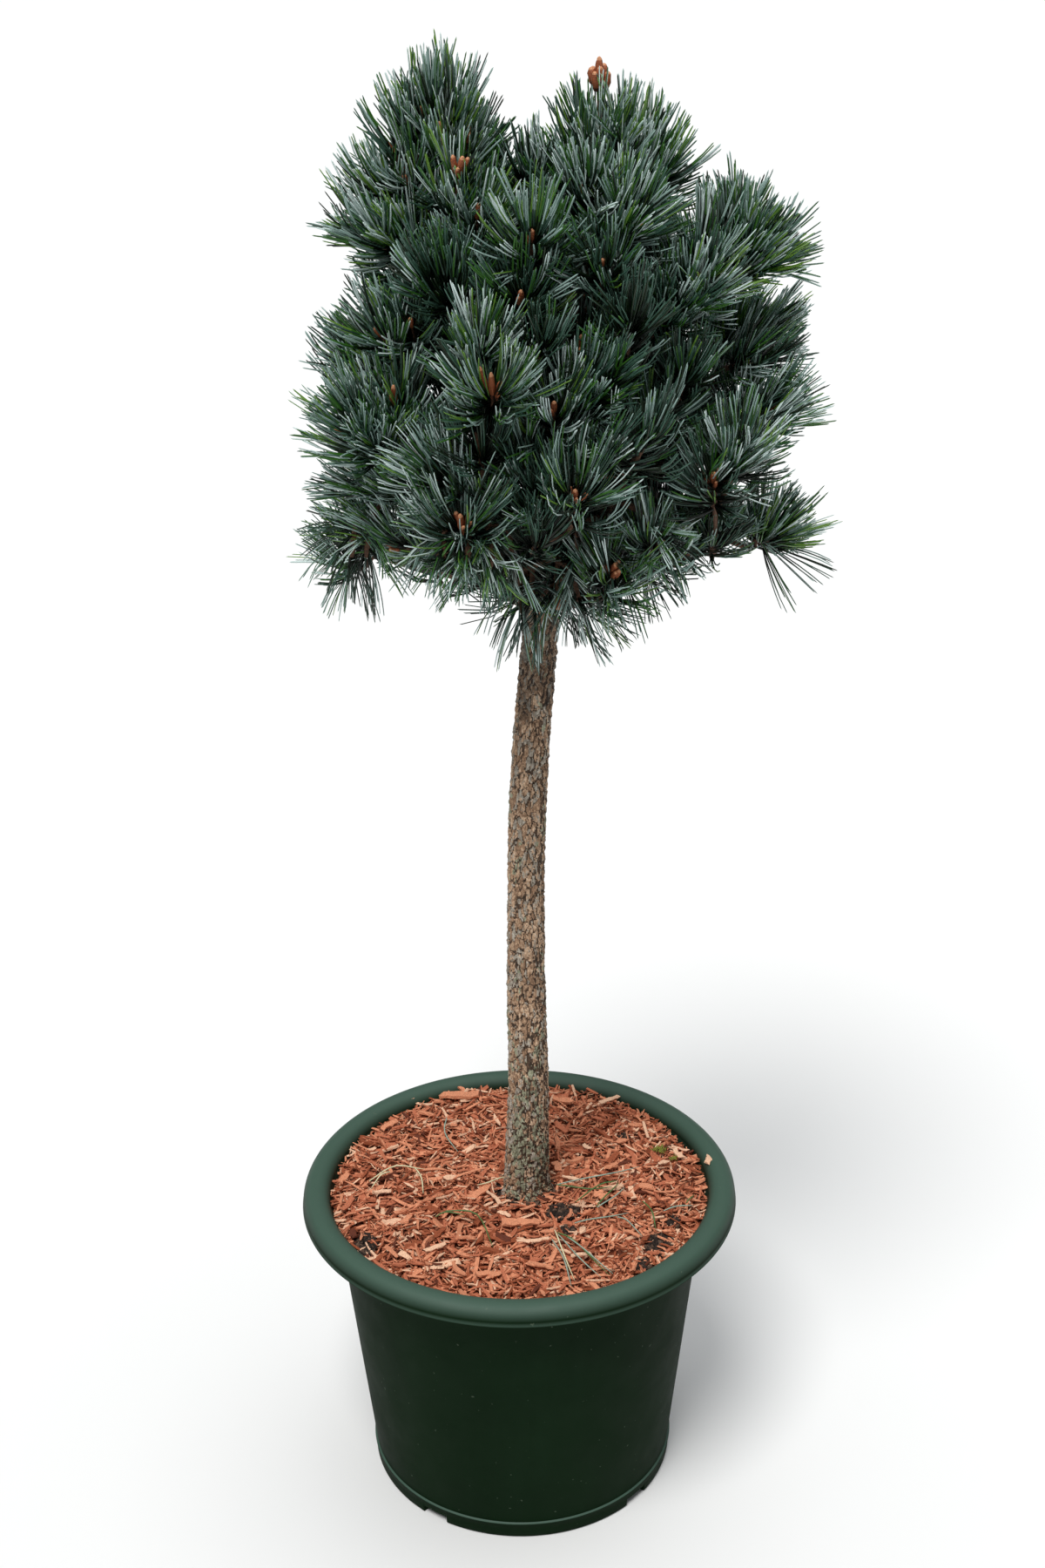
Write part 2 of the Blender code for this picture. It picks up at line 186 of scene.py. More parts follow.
def rgb(r, g, b):
    """sRGB 0-255 to linear."""
    def lin(v):
        v /= 255.0
        return v / 12.92 if v <= 0.04045 else ((v + 0.055) / 1.055) ** 2.4
    return (lin(r), lin(g), lin(b), 1.0)


# ------------------------------------------------------------------ materials
class Nodes:
    """Small helper that builds a node material."""

    def __init__(self, name):
        self.mat = bpy.data.materials.new(name)
        self.mat.use_nodes = True
        self.tree = self.mat.node_tree
        self.shader = self.tree.nodes["Principled BSDF"]

    def add(self, kind, inputs=None, **props):
        node = self.tree.nodes.new(kind)
        for key, value in props.items():
            setattr(node, key, value)
        for key, value in (inputs or {}).items():
            if hasattr(value, "is_output") or hasattr(value, "links"):
                self.tree.links.new(value, node.inputs[key])
            else:
                node.inputs[key].default_value = value
        return node

    def link(self, out, socket):
        self.tree.links.new(out, socket)

    def coords(self, scale=(1, 1, 1)):
        tex = self.add("ShaderNodeTexCoord")
        mapping = self.add("ShaderNodeMapping", {"Vector": tex.outputs["Object"], "Scale": scale})
        return mapping.outputs["Vector"]

    def noise(self, vector, scale, detail=3.0, rough=0.5, distort=0.0):
        node = self.add("ShaderNodeTexNoise", {"Vector": vector, "Scale": scale, "Detail": detail,
                                               "Roughness": rough, "Distortion": distort})
        return node.outputs["Fac"]

    def ramp(self, fac, stops):
        node = self.add("ShaderNodeValToRGB", {"Fac": fac})
        ramp = node.color_ramp
        while len(ramp.elements) < len(stops):
            ramp.elements.new(0.5)
        for element, (pos, colour) in zip(ramp.elements, stops):
            element.position = pos
            element.color = colour if len(colour) == 4 else (*colour, 1.0)
        return node.outputs["Color"]

    def mix(self, fac, a, b):
        node = self.add("ShaderNodeMix", data_type="RGBA")
        for key, value in ((0, fac), (6, a), (7, b)):
            if hasattr(value, "links"):
                self.tree.links.new(value, node.inputs[key])
            else:
                node.inputs[key].default_value = value
        return node.outputs[2]

    def bump(self, height, strength, distance):
        node = self.add("ShaderNodeBump", {"Height": height, "Strength": strength,
                                           "Distance": distance})
        self.link(node.outputs["Normal"], self.shader.inputs["Normal"])

    def colour(self, value):
        if hasattr(value, "links"):
            self.link(value, self.shader.inputs["Base Color"])
        else:
            self.shader.inputs["Base Color"].default_value = value

    def rough(self, value):
        if hasattr(value, "links"):
            self.link(value, self.shader.inputs["Roughness"])
        else:
            self.shader.inputs["Roughness"].default_value = value


def grey(v):
    return (v, v, v, 1.0)


def pot_material():
    n = Nodes("pot_green_plastic")
    at = n.coords()
    broad = n.noise(at, 7.0, 4.0, 0.6)
    streak = n.noise(n.coords((22, 22, 3)), 1.0, 3.0, 0.6)
    base = n.ramp(broad, [(0.3, rgb(11, 29, 13)), (0.7, rgb(16, 36, 18))])
    base = n.mix(n.ramp(streak, [(0.55, grey(0)), (0.8, grey(0.22))]), base, rgb(24, 44, 28))
    # what faces up is painted paler: painted light falling from above, and a painted sheen on the rim's top
    normal = n.add("ShaderNodeNewGeometry").outputs["Normal"]
    up = n.add("ShaderNodeSeparateXYZ", {"Vector": normal}).outputs["Z"]
    base = n.mix(n.ramp(up, [(0.05, grey(0)), (0.85, grey(0.90))]), base, rgb(64, 90, 77))
    specks = n.noise(at, 260.0, 1.0, 0.4)
    base = n.mix(n.ramp(specks, [(0.77, grey(0)), (0.80, grey(0.35))]), base, rgb(96, 108, 92))
    n.colour(base)
    n.rough(n.ramp(n.noise(at, 30.0, 4.0, 0.6), [(0.3, grey(0.55)), (0.75, grey(0.68))]))
    # and the rolled rim keeps a soft wet sheen
    n.link(n.ramp(up, [(0.05, grey(0.04)), (0.60, grey(0.36))]), n.shader.inputs["Specular IOR Level"])
    n.bump(n.noise(at, 900.0, 2.0, 0.5), 0.10, 0.0006)
    return n.mat


# dark, middle and light of each kind of plate, and of the cracks between them
BARK_TONES = (
    ("bark_brown", (98, 74, 56), (150, 118, 92), (192, 162, 132)),
    ("bark_tan", (126, 98, 76), (184, 154, 126), (218, 192, 166)),
    ("bark_grey", (104, 95, 84), (154, 144, 130), (198, 190, 178)),
    ("bark_lichen", (86, 87, 70), (138, 138, 114), (178, 178, 156)),
    ("bark_crack", (38, 29, 22), (70, 54, 42), (110, 86, 66)),
)


def bark_materials(prefix, dim):
    mats = []
    for name, *shades in BARK_TONES:
        n = Nodes(prefix + name)
        dark, mid, light = (tuple(c * dim for c in rgb(*shade)[:3]) + (1.0,) for shade in shades)
        fine = n.noise(n.coords((1, 1, 0.5)), 620.0, 6.0, 0.75)
        base = n.ramp(fine, [(0.36, dark), (0.50, mid), (0.64, light)])
        stain = n.noise(n.coords((1, 1, 0.4)), 150.0, 4.0, 0.65)
        base = n.mix(n.ramp(stain, [(0.40, grey(0.45)), (0.55, grey(0.0))]), base, dark)
        n.colour(base)
        n.rough(0.9)
        n.bump(fine, 0.7, 0.0012)
        mats.append(n.mat)
    return mats


def plain_material(name, colour, rough, vary=0.0, scale=300.0, bump=0.0):
    """A base colour with fine lighter and darker mottling."""
    n = Nodes(name)
    if vary:
        fac = n.noise(n.coords(), scale, 3.0, 0.6)
        dark = tuple(c * (1 - vary) for c in colour[:3]) + (1.0,)
        light = tuple(min(1.0, c * (1 + vary)) for c in colour[:3]) + (1.0,)
        n.colour(n.ramp(fac, [(0.3, dark), (0.7, light)]))
        if bump:
            n.bump(fac, bump, 0.0005)
    else:
        n.colour(colour)
    n.rough(rough)
    return n.mat


# ------------------------------------------------------------------ pot
RIM_RADIUS, RIM_ROLL, RIM_LEVEL, RIM_LIP = 0.1969, 0.0131, 0.29925, 0.0050
SHEET = 0.0026
WALL_TOP, WALL_TOP_RADIUS = 0.2815, 0.1782
FOOT_LEVEL, FOOT_RADIUS, BASE_RADIUS = 0.0175, 0.1493, 0.1499
RECESS, RING_INNER, BOSS_RADIUS = 0.0090, 0.1290, 0.0500
NOTCH_WIDTH, NOTCH_HEIGHT = 0.0280, 0.0085
NOTCH_ANGLES = (-125.5, -41.8, 54.5, 138.2)
TURNS = 288


def wall_radius(z, inside=False):
    shift = SHEET if inside else 0.0
    if z <= WALL_TOP:
        share = (z - FOOT_LEVEL) / (WALL_TOP - FOOT_LEVEL)
        return FOOT_RADIUS + share * (WALL_TOP_RADIUS - FOOT_RADIUS) - shift
    share = (z - WALL_TOP) / (RIM_LEVEL - WALL_TOP)
    outer = RIM_RADIUS - RIM_ROLL + SHEET
    return WALL_TOP_RADIUS + share * (outer - WALL_TOP_RADIUS) - shift


def rim_arc(radius, start, end, steps):
    for k in range(steps + 1):
        a = math.radians(start + (end - start) * k / steps)
        yield RIM_RADIUS + radius * math.cos(a), RIM_LEVEL + radius * math.sin(a)


def pot_profile():
    """From inside the pot, over the rolled rim, down the wall and under the base."""
    points = [(wall_radius(0.20, True), 0.20), (wall_radius(0.26, True), 0.26),
              (wall_radius(WALL_TOP, True), WALL_TOP)]
    points += list(rim_arc(RIM_ROLL, 180, 0, 28))
    lip = RIM_LEVEL - RIM_LIP
    points += [(RIM_RADIUS + RIM_ROLL - 0.0001, lip + 0.0022), (RIM_RADIUS + RIM_ROLL + 0.0006, lip + 0.0014),
               (RIM_RADIUS + RIM_ROLL + 0.0007, lip + 0.0004), (RIM_RADIUS + RIM_ROLL, lip - 0.0002),
               (RIM_RADIUS + RIM_ROLL - SHEET, lip)]
    points += list(rim_arc(RIM_ROLL - SHEET, 0, 180, 12))
    points += [(WALL_TOP_RADIUS + 0.0030, WALL_TOP + 0.0060), (WALL_TOP_RADIUS + 0.0006, WALL_TOP + 0.0015),
               (WALL_TOP_RADIUS, WALL_TOP - 0.0010)]
    steps = 12
    for k in range(1, steps):
        z = WALL_TOP + (FOOT_LEVEL - WALL_TOP) * k / steps
        points.append((wall_radius(z), z))
    points += [(FOOT_RADIUS, FOOT_LEVEL + 0.0004), (FOOT_RADIUS + 0.0004, FOOT_LEVEL),
               (BASE_RADIUS + 0.0012, FOOT_LEVEL - 0.0006), (BASE_RADIUS + 0.0013, FOOT_LEVEL - 0.0014),
               (BASE_RADIUS + 0.0005, FOOT_LEVEL - 0.0022), (BASE_RADIUS, NOTCH_HEIGHT),
               (BASE_RADIUS - 0.0002, 0.0022), (BASE_RADIUS - 0.0008, 0.0008), (BASE_RADIUS - 0.0018, 0.0),
               (RING_INNER + 0.0008, 0.0), (RING_INNER, 0.0008), (RING_INNER - 0.0012, RECESS)]
    points += [(0.110, RECESS), (0.080, RECESS), (BOSS_RADIUS + 0.0015, RECESS),
               (BOSS_RADIUS + 0.0004, 0.0006), (BOSS_RADIUS - 0.0006, 0.0), (0.020, 0.0), (0.0005, 0.0)]
    return np.array(points)


def notch_depth(angle):
    """1 inside a drainage notch of the foot ring, 0 outside."""
    best = 0.0
    for degrees in NOTCH_ANGLES:
        off = (angle - math.radians(degrees) + math.pi) % (2 * math.pi) - math.pi
        if abs(off) * BASE_RADIUS < 0.5 * NOTCH_WIDTH:
            best = 1.0
    return best


def build_pot():
    profile = pot_profile()
    cols = TURNS
    # extra columns at the notch sides make their walls upright
    angles = list(np.linspace(-math.pi, math.pi, cols, endpoint=False))
    for degrees in NOTCH_ANGLES:
        for side in (-1, 1):
            edge = math.radians(degrees) + side * 0.5 * NOTCH_WIDTH / BASE_RADIUS
            edge = (edge + math.pi) % (2 * math.pi) - math.pi
            angles += [edge - 0.0006, edge + 0.0006]
    angles = np.array(sorted(angles))
    rows = []
    inside = np.array([notch_depth(a) for a in angles])
    for r, z in profile:
        ring = np.stack([r * np.cos(angles), r * np.sin(angles), np.full(len(angles), z)], -1)
        if z < NOTCH_HEIGHT and r > RING_INNER - 0.001:
            ring[:, 2] = np.where(inside > 0, NOTCH_HEIGHT, ring[:, 2])
        # slight out-of-round, as moulded tubs are
        wob = 1.0 + 0.0012 * np.sin(2 * angles + 0.6) * min(1.0, z / 0.1)
        ring[:, 0] *= wob
        ring[:, 1] *= wob
        rows.append(ring)
    co = np.concatenate(rows)
    faces = grid_faces(len(profile), len(angles))[:, ::-1]
    pot = mesh_object("pot_shell", co, faces, [pot_material()])
    pot.data.set_sharp_from_angle(angle=math.radians(50))
    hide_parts("pot")


build_pot()

# ------------------------------------------------------------------ mulch
MULCH_LEVEL, MULCH_RISE, MULCH_EDGE = 0.3000, 0.0050, 0.1848
TRUNK_FOOT_X = 0.0066


def mulch_height(x, y):
    x, y = np.asarray(x, float), np.asarray(y, float)
    away = np.clip((np.hypot(x - TRUNK_FOOT_X, y) - 0.046) / 0.05, 0, 1)
    bump = (np.sin(x * 61 + 1.3) * np.cos(y * 53 + 0.4) + 0.6 * np.sin(x * 97 + y * 71)) * 0.0013
    edge = np.clip((np.hypot(x, y) - 0.165) / 0.02, 0, 1)
    return MULCH_LEVEL - 0.0015 + away * (MULCH_RISE * y / RIM_RADIUS + bump) - 0.0025 * edge


def build_soil():
    rings, cols = 70, 220
    radii = np.linspace(0.001, 0.1815, rings) ** 0.9
    radii = radii / radii[-1] * 0.1815
    a = np.linspace(0, 2 * math.pi, cols, endpoint=False)
    x = radii[:, None] * np.cos(a)[None, :]
    y = radii[:, None] * np.sin(a)[None, :]
    z = mulch_height(x, y) - 0.0035
    for i in range(rings):
        for j in range(cols):
            v = noise.fractal(Vector((x[i, j] * 160, y[i, j] * 160, 1.0)), 0.7, 2.1, 3)
            z[i, j] += 0.0016 * v
    skirt_r = np.array([0.1790, 0.1755])
    skirt_z = np.array([0.287, 0.270])
    co = np.concatenate([np.stack([x, y, z], -1).reshape(-1, 3)]
                        + [np.stack([r * np.cos(a), r * np.sin(a), np.full(cols, h)], -1)
                           for r, h in zip(skirt_r, skirt_z)])
    faces = grid_faces(rings + 2, cols)
    soil = mesh_object("soil_bed", co, faces, [soil_material()])
    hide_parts("soil_and_mulch")


def soil_material():
    n = Nodes("soil_under_chips")
    at = n.coords()
    fine = n.noise(at, 500.0, 5.0, 0.7)
    base = n.ramp(fine, [(0.3, rgb(68, 26, 10)), (0.55, rgb(122, 56, 26)), (0.75, rgb(164, 92, 56))])
    n.colour(base)
    n.rough(0.95)
    n.bump(fine, 0.9, 0.002)
    return n.mat


CHIP_COLOURS = (
    ("chip_orange", rgb(214, 140, 104), 0.36),
    ("chip_red", rgb(184, 106, 74), 0.29),
    ("chip_brown", rgb(146, 74, 42), 0.17),
    ("chip_pale", rgb(238, 186, 154), 0.12),
    ("chip_dark", rgb(96, 42, 20), 0.06),
)
# places in the picture: bare dark soil showing through the chips
DARK_PATCHES = ((646, 1388, 19, 9), (652, 1408, 9, 5), (420, 1424, 12, 12), (758, 1426, 16, 13),
                (738, 1448, 10, 6), (716, 1302, 7, 4), (774, 1400, 8, 6))
# single larger chips: place, length and width in mm, turn in degrees, tone
LARGE_CHIPS = ((528, 1257, 40, 12, 8, 0), (597, 1403, 30, 11, -4, 0), (567, 1373, 27, 4, -62, 3),
               (579, 1393, 13, 4, -28, 3), (640, 1338, 15, 7, -78, 0), (655, 1352, 17, 4, -28, 3),
               (674, 1316, 11, 4, -48, 3), (702, 1338, 13, 8, 12, 0), (779, 1324, 15, 6, -64, 3),
               (762, 1334, 12, 5, 30, 3), (505, 1366, 30, 2.5, 42, 2), (540, 1345, 34, 3, 24, 0),
               (470, 1262, 20, 6, 30, 3), (448, 1290, 22, 7, 50, 0), (466, 1400, 12, 6, 60, 0),
               (536, 1420, 16, 7, -12, 0), (700, 1262, 24, 5, 35, 3), (620, 1452, 26, 6, -20, 0),
               (560, 1462, 22, 8, 8, 0), (690, 1372, 12, 8, -30, 0), (612, 1424, 30, 4, 6, 3),
               (742, 1362, 14, 8, -10, 0), (395, 1352, 18, 6, 70, 0), (500, 1432, 22, 5, 28, 3),
               (440, 1368, 16, 5, 6, 3), (726, 1415, 18, 4, -40, 0), (668, 1440, 20, 5, 14, 3))
# needles dropped on the mulch: three places of the picture each, and a tone
FALLEN = (
    ((639, 1361), (690, 1351), (734, 1339), 1), ((639, 1361), (672, 1366), (703, 1362), 0),
    ((661, 1381), (690, 1361), (709, 1355), 0), ((685, 1386), (698, 1372), (711, 1357), 0),
    ((686, 1387), (703, 1377), (717, 1363), 1), ((660, 1405), (687, 1400), (722, 1392), 1),
    ((709, 1398), (722, 1404), (737, 1418), 1), ((738, 1380), (749, 1393), (753, 1411), 0),
    ((762, 1391), (780, 1386), (796, 1383), 1), ((788, 1382), (793, 1377), (797, 1371), 0),
    ((512, 1391), (548, 1396), (566, 1431), 0), ((424, 1357), (455, 1340), (488, 1342), 2),
    ((476, 1341), (484, 1354), (486, 1370), 2), ((513, 1284), (511, 1302), (526, 1322), 1),
    ((637, 1413), (644, 1432), (660, 1470), 2), ((640, 1416), (662, 1428), (700, 1464), 0),
    ((641, 1418), (660, 1440), (690, 1466), 1), ((650, 1420), (676, 1440), (704, 1462), 1),
    ((634, 1424), (648, 1448), (656, 1476), 1), ((448, 1346), (436, 1352), (426, 1364), 2),
    ((500, 1398), (514, 1393), (534, 1394), 0), ((580, 1352), (566, 1357), (548, 1360), 2),
)


def on_mulch(px, py, lift=0.004):
    """The point of the mulch's surface that shows at a place of the picture."""
    way = ray(px, py)
    level = MULCH_LEVEL
    for _ in range(4):
        spot = CAM_AT + way * (level - CAM_AT[2]) / way[2]
        level = float(mulch_height(spot[0], spot[1])) + lift
    return spot


def chip_block(centre, azimuth, tilt, roll, length, width, thick, bend, ragged, s):
    """One splinter: a bent, tapering slat with ragged ends, sections of 4 corners."""
    n, m = len(centre), len(s)
    rng = RNG
    taper = 1.0 - ragged[:, None] * np.abs(s)[None, :] ** 1.5 * 2.2
    taper = np.clip(taper + 0.14 * rng.standard_normal((n, m)), 0.12, 1.4)
    along = s[None, :] * length[:, None]
    sag = bend[:, None] * (s[None, :] ** 2) * length[:, None] * 2.0
    shift = 0.12 * width[:, None] * rng.standard_normal((n, m))
    corners = np.array([[-0.5, -0.5], [0.5, -0.5], [0.5, 0.5], [-0.5, 0.5]])
    y = (corners[None, None, :, 0] * width[:, None, None] * taper[:, :, None]
         + shift[:, :, None])
    z = (corners[None, None, :, 1] * thick[:, None, None] * (0.5 + 0.5 * taper[:, :, None])
         + sag[:, :, None])
    x = np.broadcast_to(along[:, :, None], y.shape).copy()
    x += 0.16 * width[:, None, None] * rng.standard_normal(y.shape)
    # roll about the length, tilt the length, turn
    cr, sr = np.cos(roll)[:, None, None], np.sin(roll)[:, None, None]
    y, z = y * cr - z * sr, y * sr + z * cr
    ct, st = np.cos(tilt)[:, None, None], np.sin(tilt)[:, None, None]
    x, z = x * ct - z * st, x * st + z * ct
    ca, sa = np.cos(azimuth)[:, None, None], np.sin(azimuth)[:, None, None]
    x, y = x * ca - y * sa, x * sa + y * ca
    co = np.stack([x + centre[:, 0][:, None, None], y + centre[:, 1][:, None, None],
                   z + centre[:, 2][:, None, None]], -1)
    return co.reshape(n * m * 4, 3)


def chip_faces(n, m):
    quads = []
    for s in range(m - 1):
        for k in range(4):
            a, b = s * 4 + k, s * 4 + (k + 1) % 4
            quads.append((a, b, b + 4, a + 4))
    quads.append((3, 2, 1, 0))
    last = 4 * (m - 1)
    quads.append((last, last + 1, last + 2, last + 3))
    quads = np.array(quads)
    return (np.arange(n)[:, None, None] * m * 4 + quads[None]).reshape(-1, 4), len(quads)


def dark_soil(x, y):
    """1 in the middle of a bare patch, 0 away from all of them."""
    share = np.zeros(len(x))
    for px, py, rx, ry in DARK_PATCHES:
        mid = on_mulch(px, py)
        side = abs(on_mulch(px + rx, py)[0] - mid[0])
        deep = abs(on_mulch(px, py - ry)[1] - mid[1])
        share = np.maximum(share, np.clip(1.25 - np.hypot((x - mid[0]) / side, (y - mid[1]) / deep), 0, 1))
    return share


def scatter_chips(name, count, low, high, wide_low, wide_high, lift, s, mats, shares):
    r = 0.1835 * np.sqrt(RNG.random(count))
    a = RNG.random(count) * 2 * math.pi
    x, y = r * np.cos(a), r * np.sin(a)
    keep = (np.hypot(x - TRUNK_FOOT_X, y) > 0.021) & (RNG.random(count) > 1.3 * dark_soil(x, y))
    x, y = x[keep], y[keep]
    n = len(x)
    length = RNG.uniform(low, high, n)
    width = RNG.uniform(wide_low, wide_high, n)
    thick = width * RNG.uniform(0.22, 0.5, n)
    z = mulch_height(x, y) - 0.0022 + RNG.random(n) ** 1.6 * lift
    azimuth = RNG.random(n) * 2 * math.pi
    # keep the splinters inside the rim
    limit = 0.1840 - 0.5 * length * np.abs(np.cos(azimuth - np.arctan2(y, x)))
    pull = np.minimum(1.0, limit / np.maximum(np.hypot(x, y), 1e-6))
    co = chip_block(np.stack([x * pull, y * pull, z], -1), azimuth, RNG.normal(0, 0.20, n),
                    RNG.normal(0, 0.45, n), length, width, thick, RNG.normal(0, 0.12, n),
                    RNG.uniform(0.1, 0.9, n), s)
    co[:, 2] = np.minimum(co[:, 2], MULCH_LEVEL + 0.0125)
    faces, per = chip_faces(n, len(s))
    tone = np.repeat(RNG.choice(len(shares), n, p=shares / shares.sum()), per)
    chips = mesh_object(name, co, faces, mats, tone, smooth=False)
    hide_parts("soil_and_mulch")


def build_chips():
    mats = [plain_material(name, colour, 0.85, 0.30, 700.0, 0.5) for name, colour, _ in CHIP_COLOURS]
    shares = np.array([share for _, _, share in CHIP_COLOURS])
    short, long = np.array([-0.5, 0.06, 0.5]), np.array([-0.5, -0.18, 0.2, 0.5])
    scatter_chips("wood_chips_small", 5600, 0.005, 0.014, 0.0008, 0.0028, 0.0062, short, mats, shares)
    scatter_chips("wood_chips_long", 2700, 0.011, 0.024, 0.0011, 0.0036, 0.0072, long, mats, shares)
    scatter_chips("wood_chips_wide", 420, 0.012, 0.026, 0.0036, 0.0070, 0.0074, long, mats, shares)
    # the ones that stand out
    rows = np.array(LARGE_CHIPS, float)
    n = len(rows)
    spots = np.array([on_mulch(px, py, 0.0075) for px, py in rows[:, :2]])
    thick = rows[:, 3] * 0.001 * 0.25
    co = chip_block(spots, np.radians(rows[:, 4]), RNG.normal(0, 0.06, n), RNG.normal(0, 0.15, n),
                    rows[:, 2] * 0.001, rows[:, 3] * 0.001, thick, RNG.normal(0, 0.05, n),
                    RNG.uniform(0.1, 0.5, n), np.linspace(-0.5, 0.5, 7))
    faces, per = chip_faces(n, 7)
    tone = np.repeat(rows[:, 5].astype(int), per)
    # one chip has landed on the rim
    side = on_mulch(814, 1333, 0.012)
    turn = math.atan2(side[1], side[0])
    away = min(max(math.hypot(side[0], side[1]), RIM_RADIUS - 0.008), RIM_RADIUS + 0.004)
    top = RIM_LEVEL + math.sqrt(RIM_ROLL ** 2 - (away - RIM_RADIUS) ** 2) + 0.0014
    rim_co = chip_block(np.array([[away * math.cos(turn), away * math.sin(turn), top]]),
                        np.array([turn + 1.25]), np.zeros(1), np.array([0.25]), np.array([0.016]),
                        np.array([0.0075]), np.array([0.0018]), np.array([-0.12]), np.array([0.8]),
                        np.linspace(-0.5, 0.5, 7))
    rim_faces, per = chip_faces(1, 7)
    co = np.concatenate([co, rim_co])
    faces = np.concatenate([faces, rim_faces + len(co) - len(rim_co)])
    chips = mesh_object("wood_chips_large", co, faces, mats, np.concatenate([tone, np.full(per, 3)]),
                        smooth=False)
    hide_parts("soil_and_mulch")


def build_crumbs():
    """Dark crumbs of soil in the bare patches and round the stem."""
    x, y = [], []
    for px, py, rx, ry in DARK_PATCHES:
        for _ in range(int(1.5 * rx * ry)):
            a, r = RNG.random() * 2 * math.pi, math.sqrt(RNG.random())
            spot = on_mulch(px + rx * r * math.cos(a), py + ry * r * math.sin(a))
            x.append(spot[0])
            y.append(spot[1])
    for _ in range(260):
        a, r = RNG.random() * 2 * math.pi, RNG.uniform(0.021, 0.031)
        x.append(TRUNK_FOOT_X + r * math.cos(a))
        y.append(r * math.sin(a))
    x, y = np.array(x), np.array(y)
    inside = (np.hypot(x, y) < 0.181) & (np.hypot(x - TRUNK_FOOT_X, y) > 0.0205)
    x, y = x[inside], y[inside]
    n = len(x)
    size = RNG.uniform(0.0016, 0.0042, n)
    z = mulch_height(x, y) - 0.0012 + RNG.random(n) * 0.0028
    co = chip_block(np.stack([x, y, z], -1), RNG.random(n) * 6.28, RNG.normal(0, 0.5, n),
                    RNG.normal(0, 0.8, n), size, size * 0.8, size * 0.7, np.zeros(n),
                    RNG.uniform(0.3, 0.8, n), np.array([-0.5, -0.2, 0.2, 0.5]))
    faces, per = chip_faces(n, 4)
    mats = [plain_material("soil_crumb", rgb(44, 32, 26), 0.95, 0.4, 900.0, 0.6),
            plain_material("soil_crumb_pale", rgb(96, 74, 60), 0.95, 0.4, 900.0, 0.6)]
    crumbs = mesh_object("soil_crumbs", co, faces, mats, np.repeat((RNG.random(n) < 0.22).astype(int), per),
                         smooth=False)
    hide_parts("soil_and_mulch")


def build_litter():
    """Needles and a little moss dropped on the mulch."""
    verts, faces, tones, count = [], [], [], 0
    for a, b, c, tone in FALLEN:
        a, b, c = (on_mulch(*spot, 0.0095) for spot in (a, b, c))
        path = smooth_path([a, b, c], 9)
        path[:, 2] += 0.0010 + 0.0012 * np.sin(np.linspace(0, 5, 9))
        radii = 0.00074 * np.array([0.7, 0.9, 1, 1, 1, 1, 0.9, 0.7, 0.25])
        co, f = tube_arrays(path, radii, 5, count)
        verts.append(co)
        faces.append(f)
        tones.append(np.full(len(f), tone))
        count += len(co)
    mats = [plain_material("litter_green", rgb(82, 116, 62), 0.5, 0.2, 300.0),
            plain_material("litter_grey", rgb(150, 168, 152), 0.5, 0.2, 300.0),
            plain_material("litter_straw", rgb(222, 216, 176), 0.5, 0.2, 300.0)]
    litter = mesh_object("fallen_needles", np.concatenate(verts), np.concatenate(faces), mats,
                         np.concatenate(tones))
    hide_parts("soil_and_mulch")
    # moss: small bent blades in two cushions
    blades = []
    for px, py, spread, number in ((758, 1319, 8.0, 60), (773, 1330, 4.0, 24)):
        for _ in range(number):
            blades.append(on_mulch(px + RNG.normal(0, 0.5 * spread), py + RNG.normal(0, 0.25 * spread), 0.006))
    blades = np.array(blades)
    n = len(blades)
    co = chip_block(blades, RNG.random(n) * 6.28, RNG.uniform(0.3, 1.2, n), RNG.normal(0, 0.4, n),
                    RNG.uniform(0.003, 0.006, n), np.full(n, 0.0009), np.full(n, 0.0005),
                    RNG.normal(0, 0.2, n), np.full(n, 0.8), np.array([-0.5, 0.0, 0.5]))
    f, per = chip_faces(n, 3)
    moss = mesh_object("moss", co, f, [plain_material("moss_green", rgb(132, 134, 52), 0.8, 0.3, 500.0)])
    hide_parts("soil_and_mulch")


build_soil()
build_chips()
build_crumbs()
build_litter()

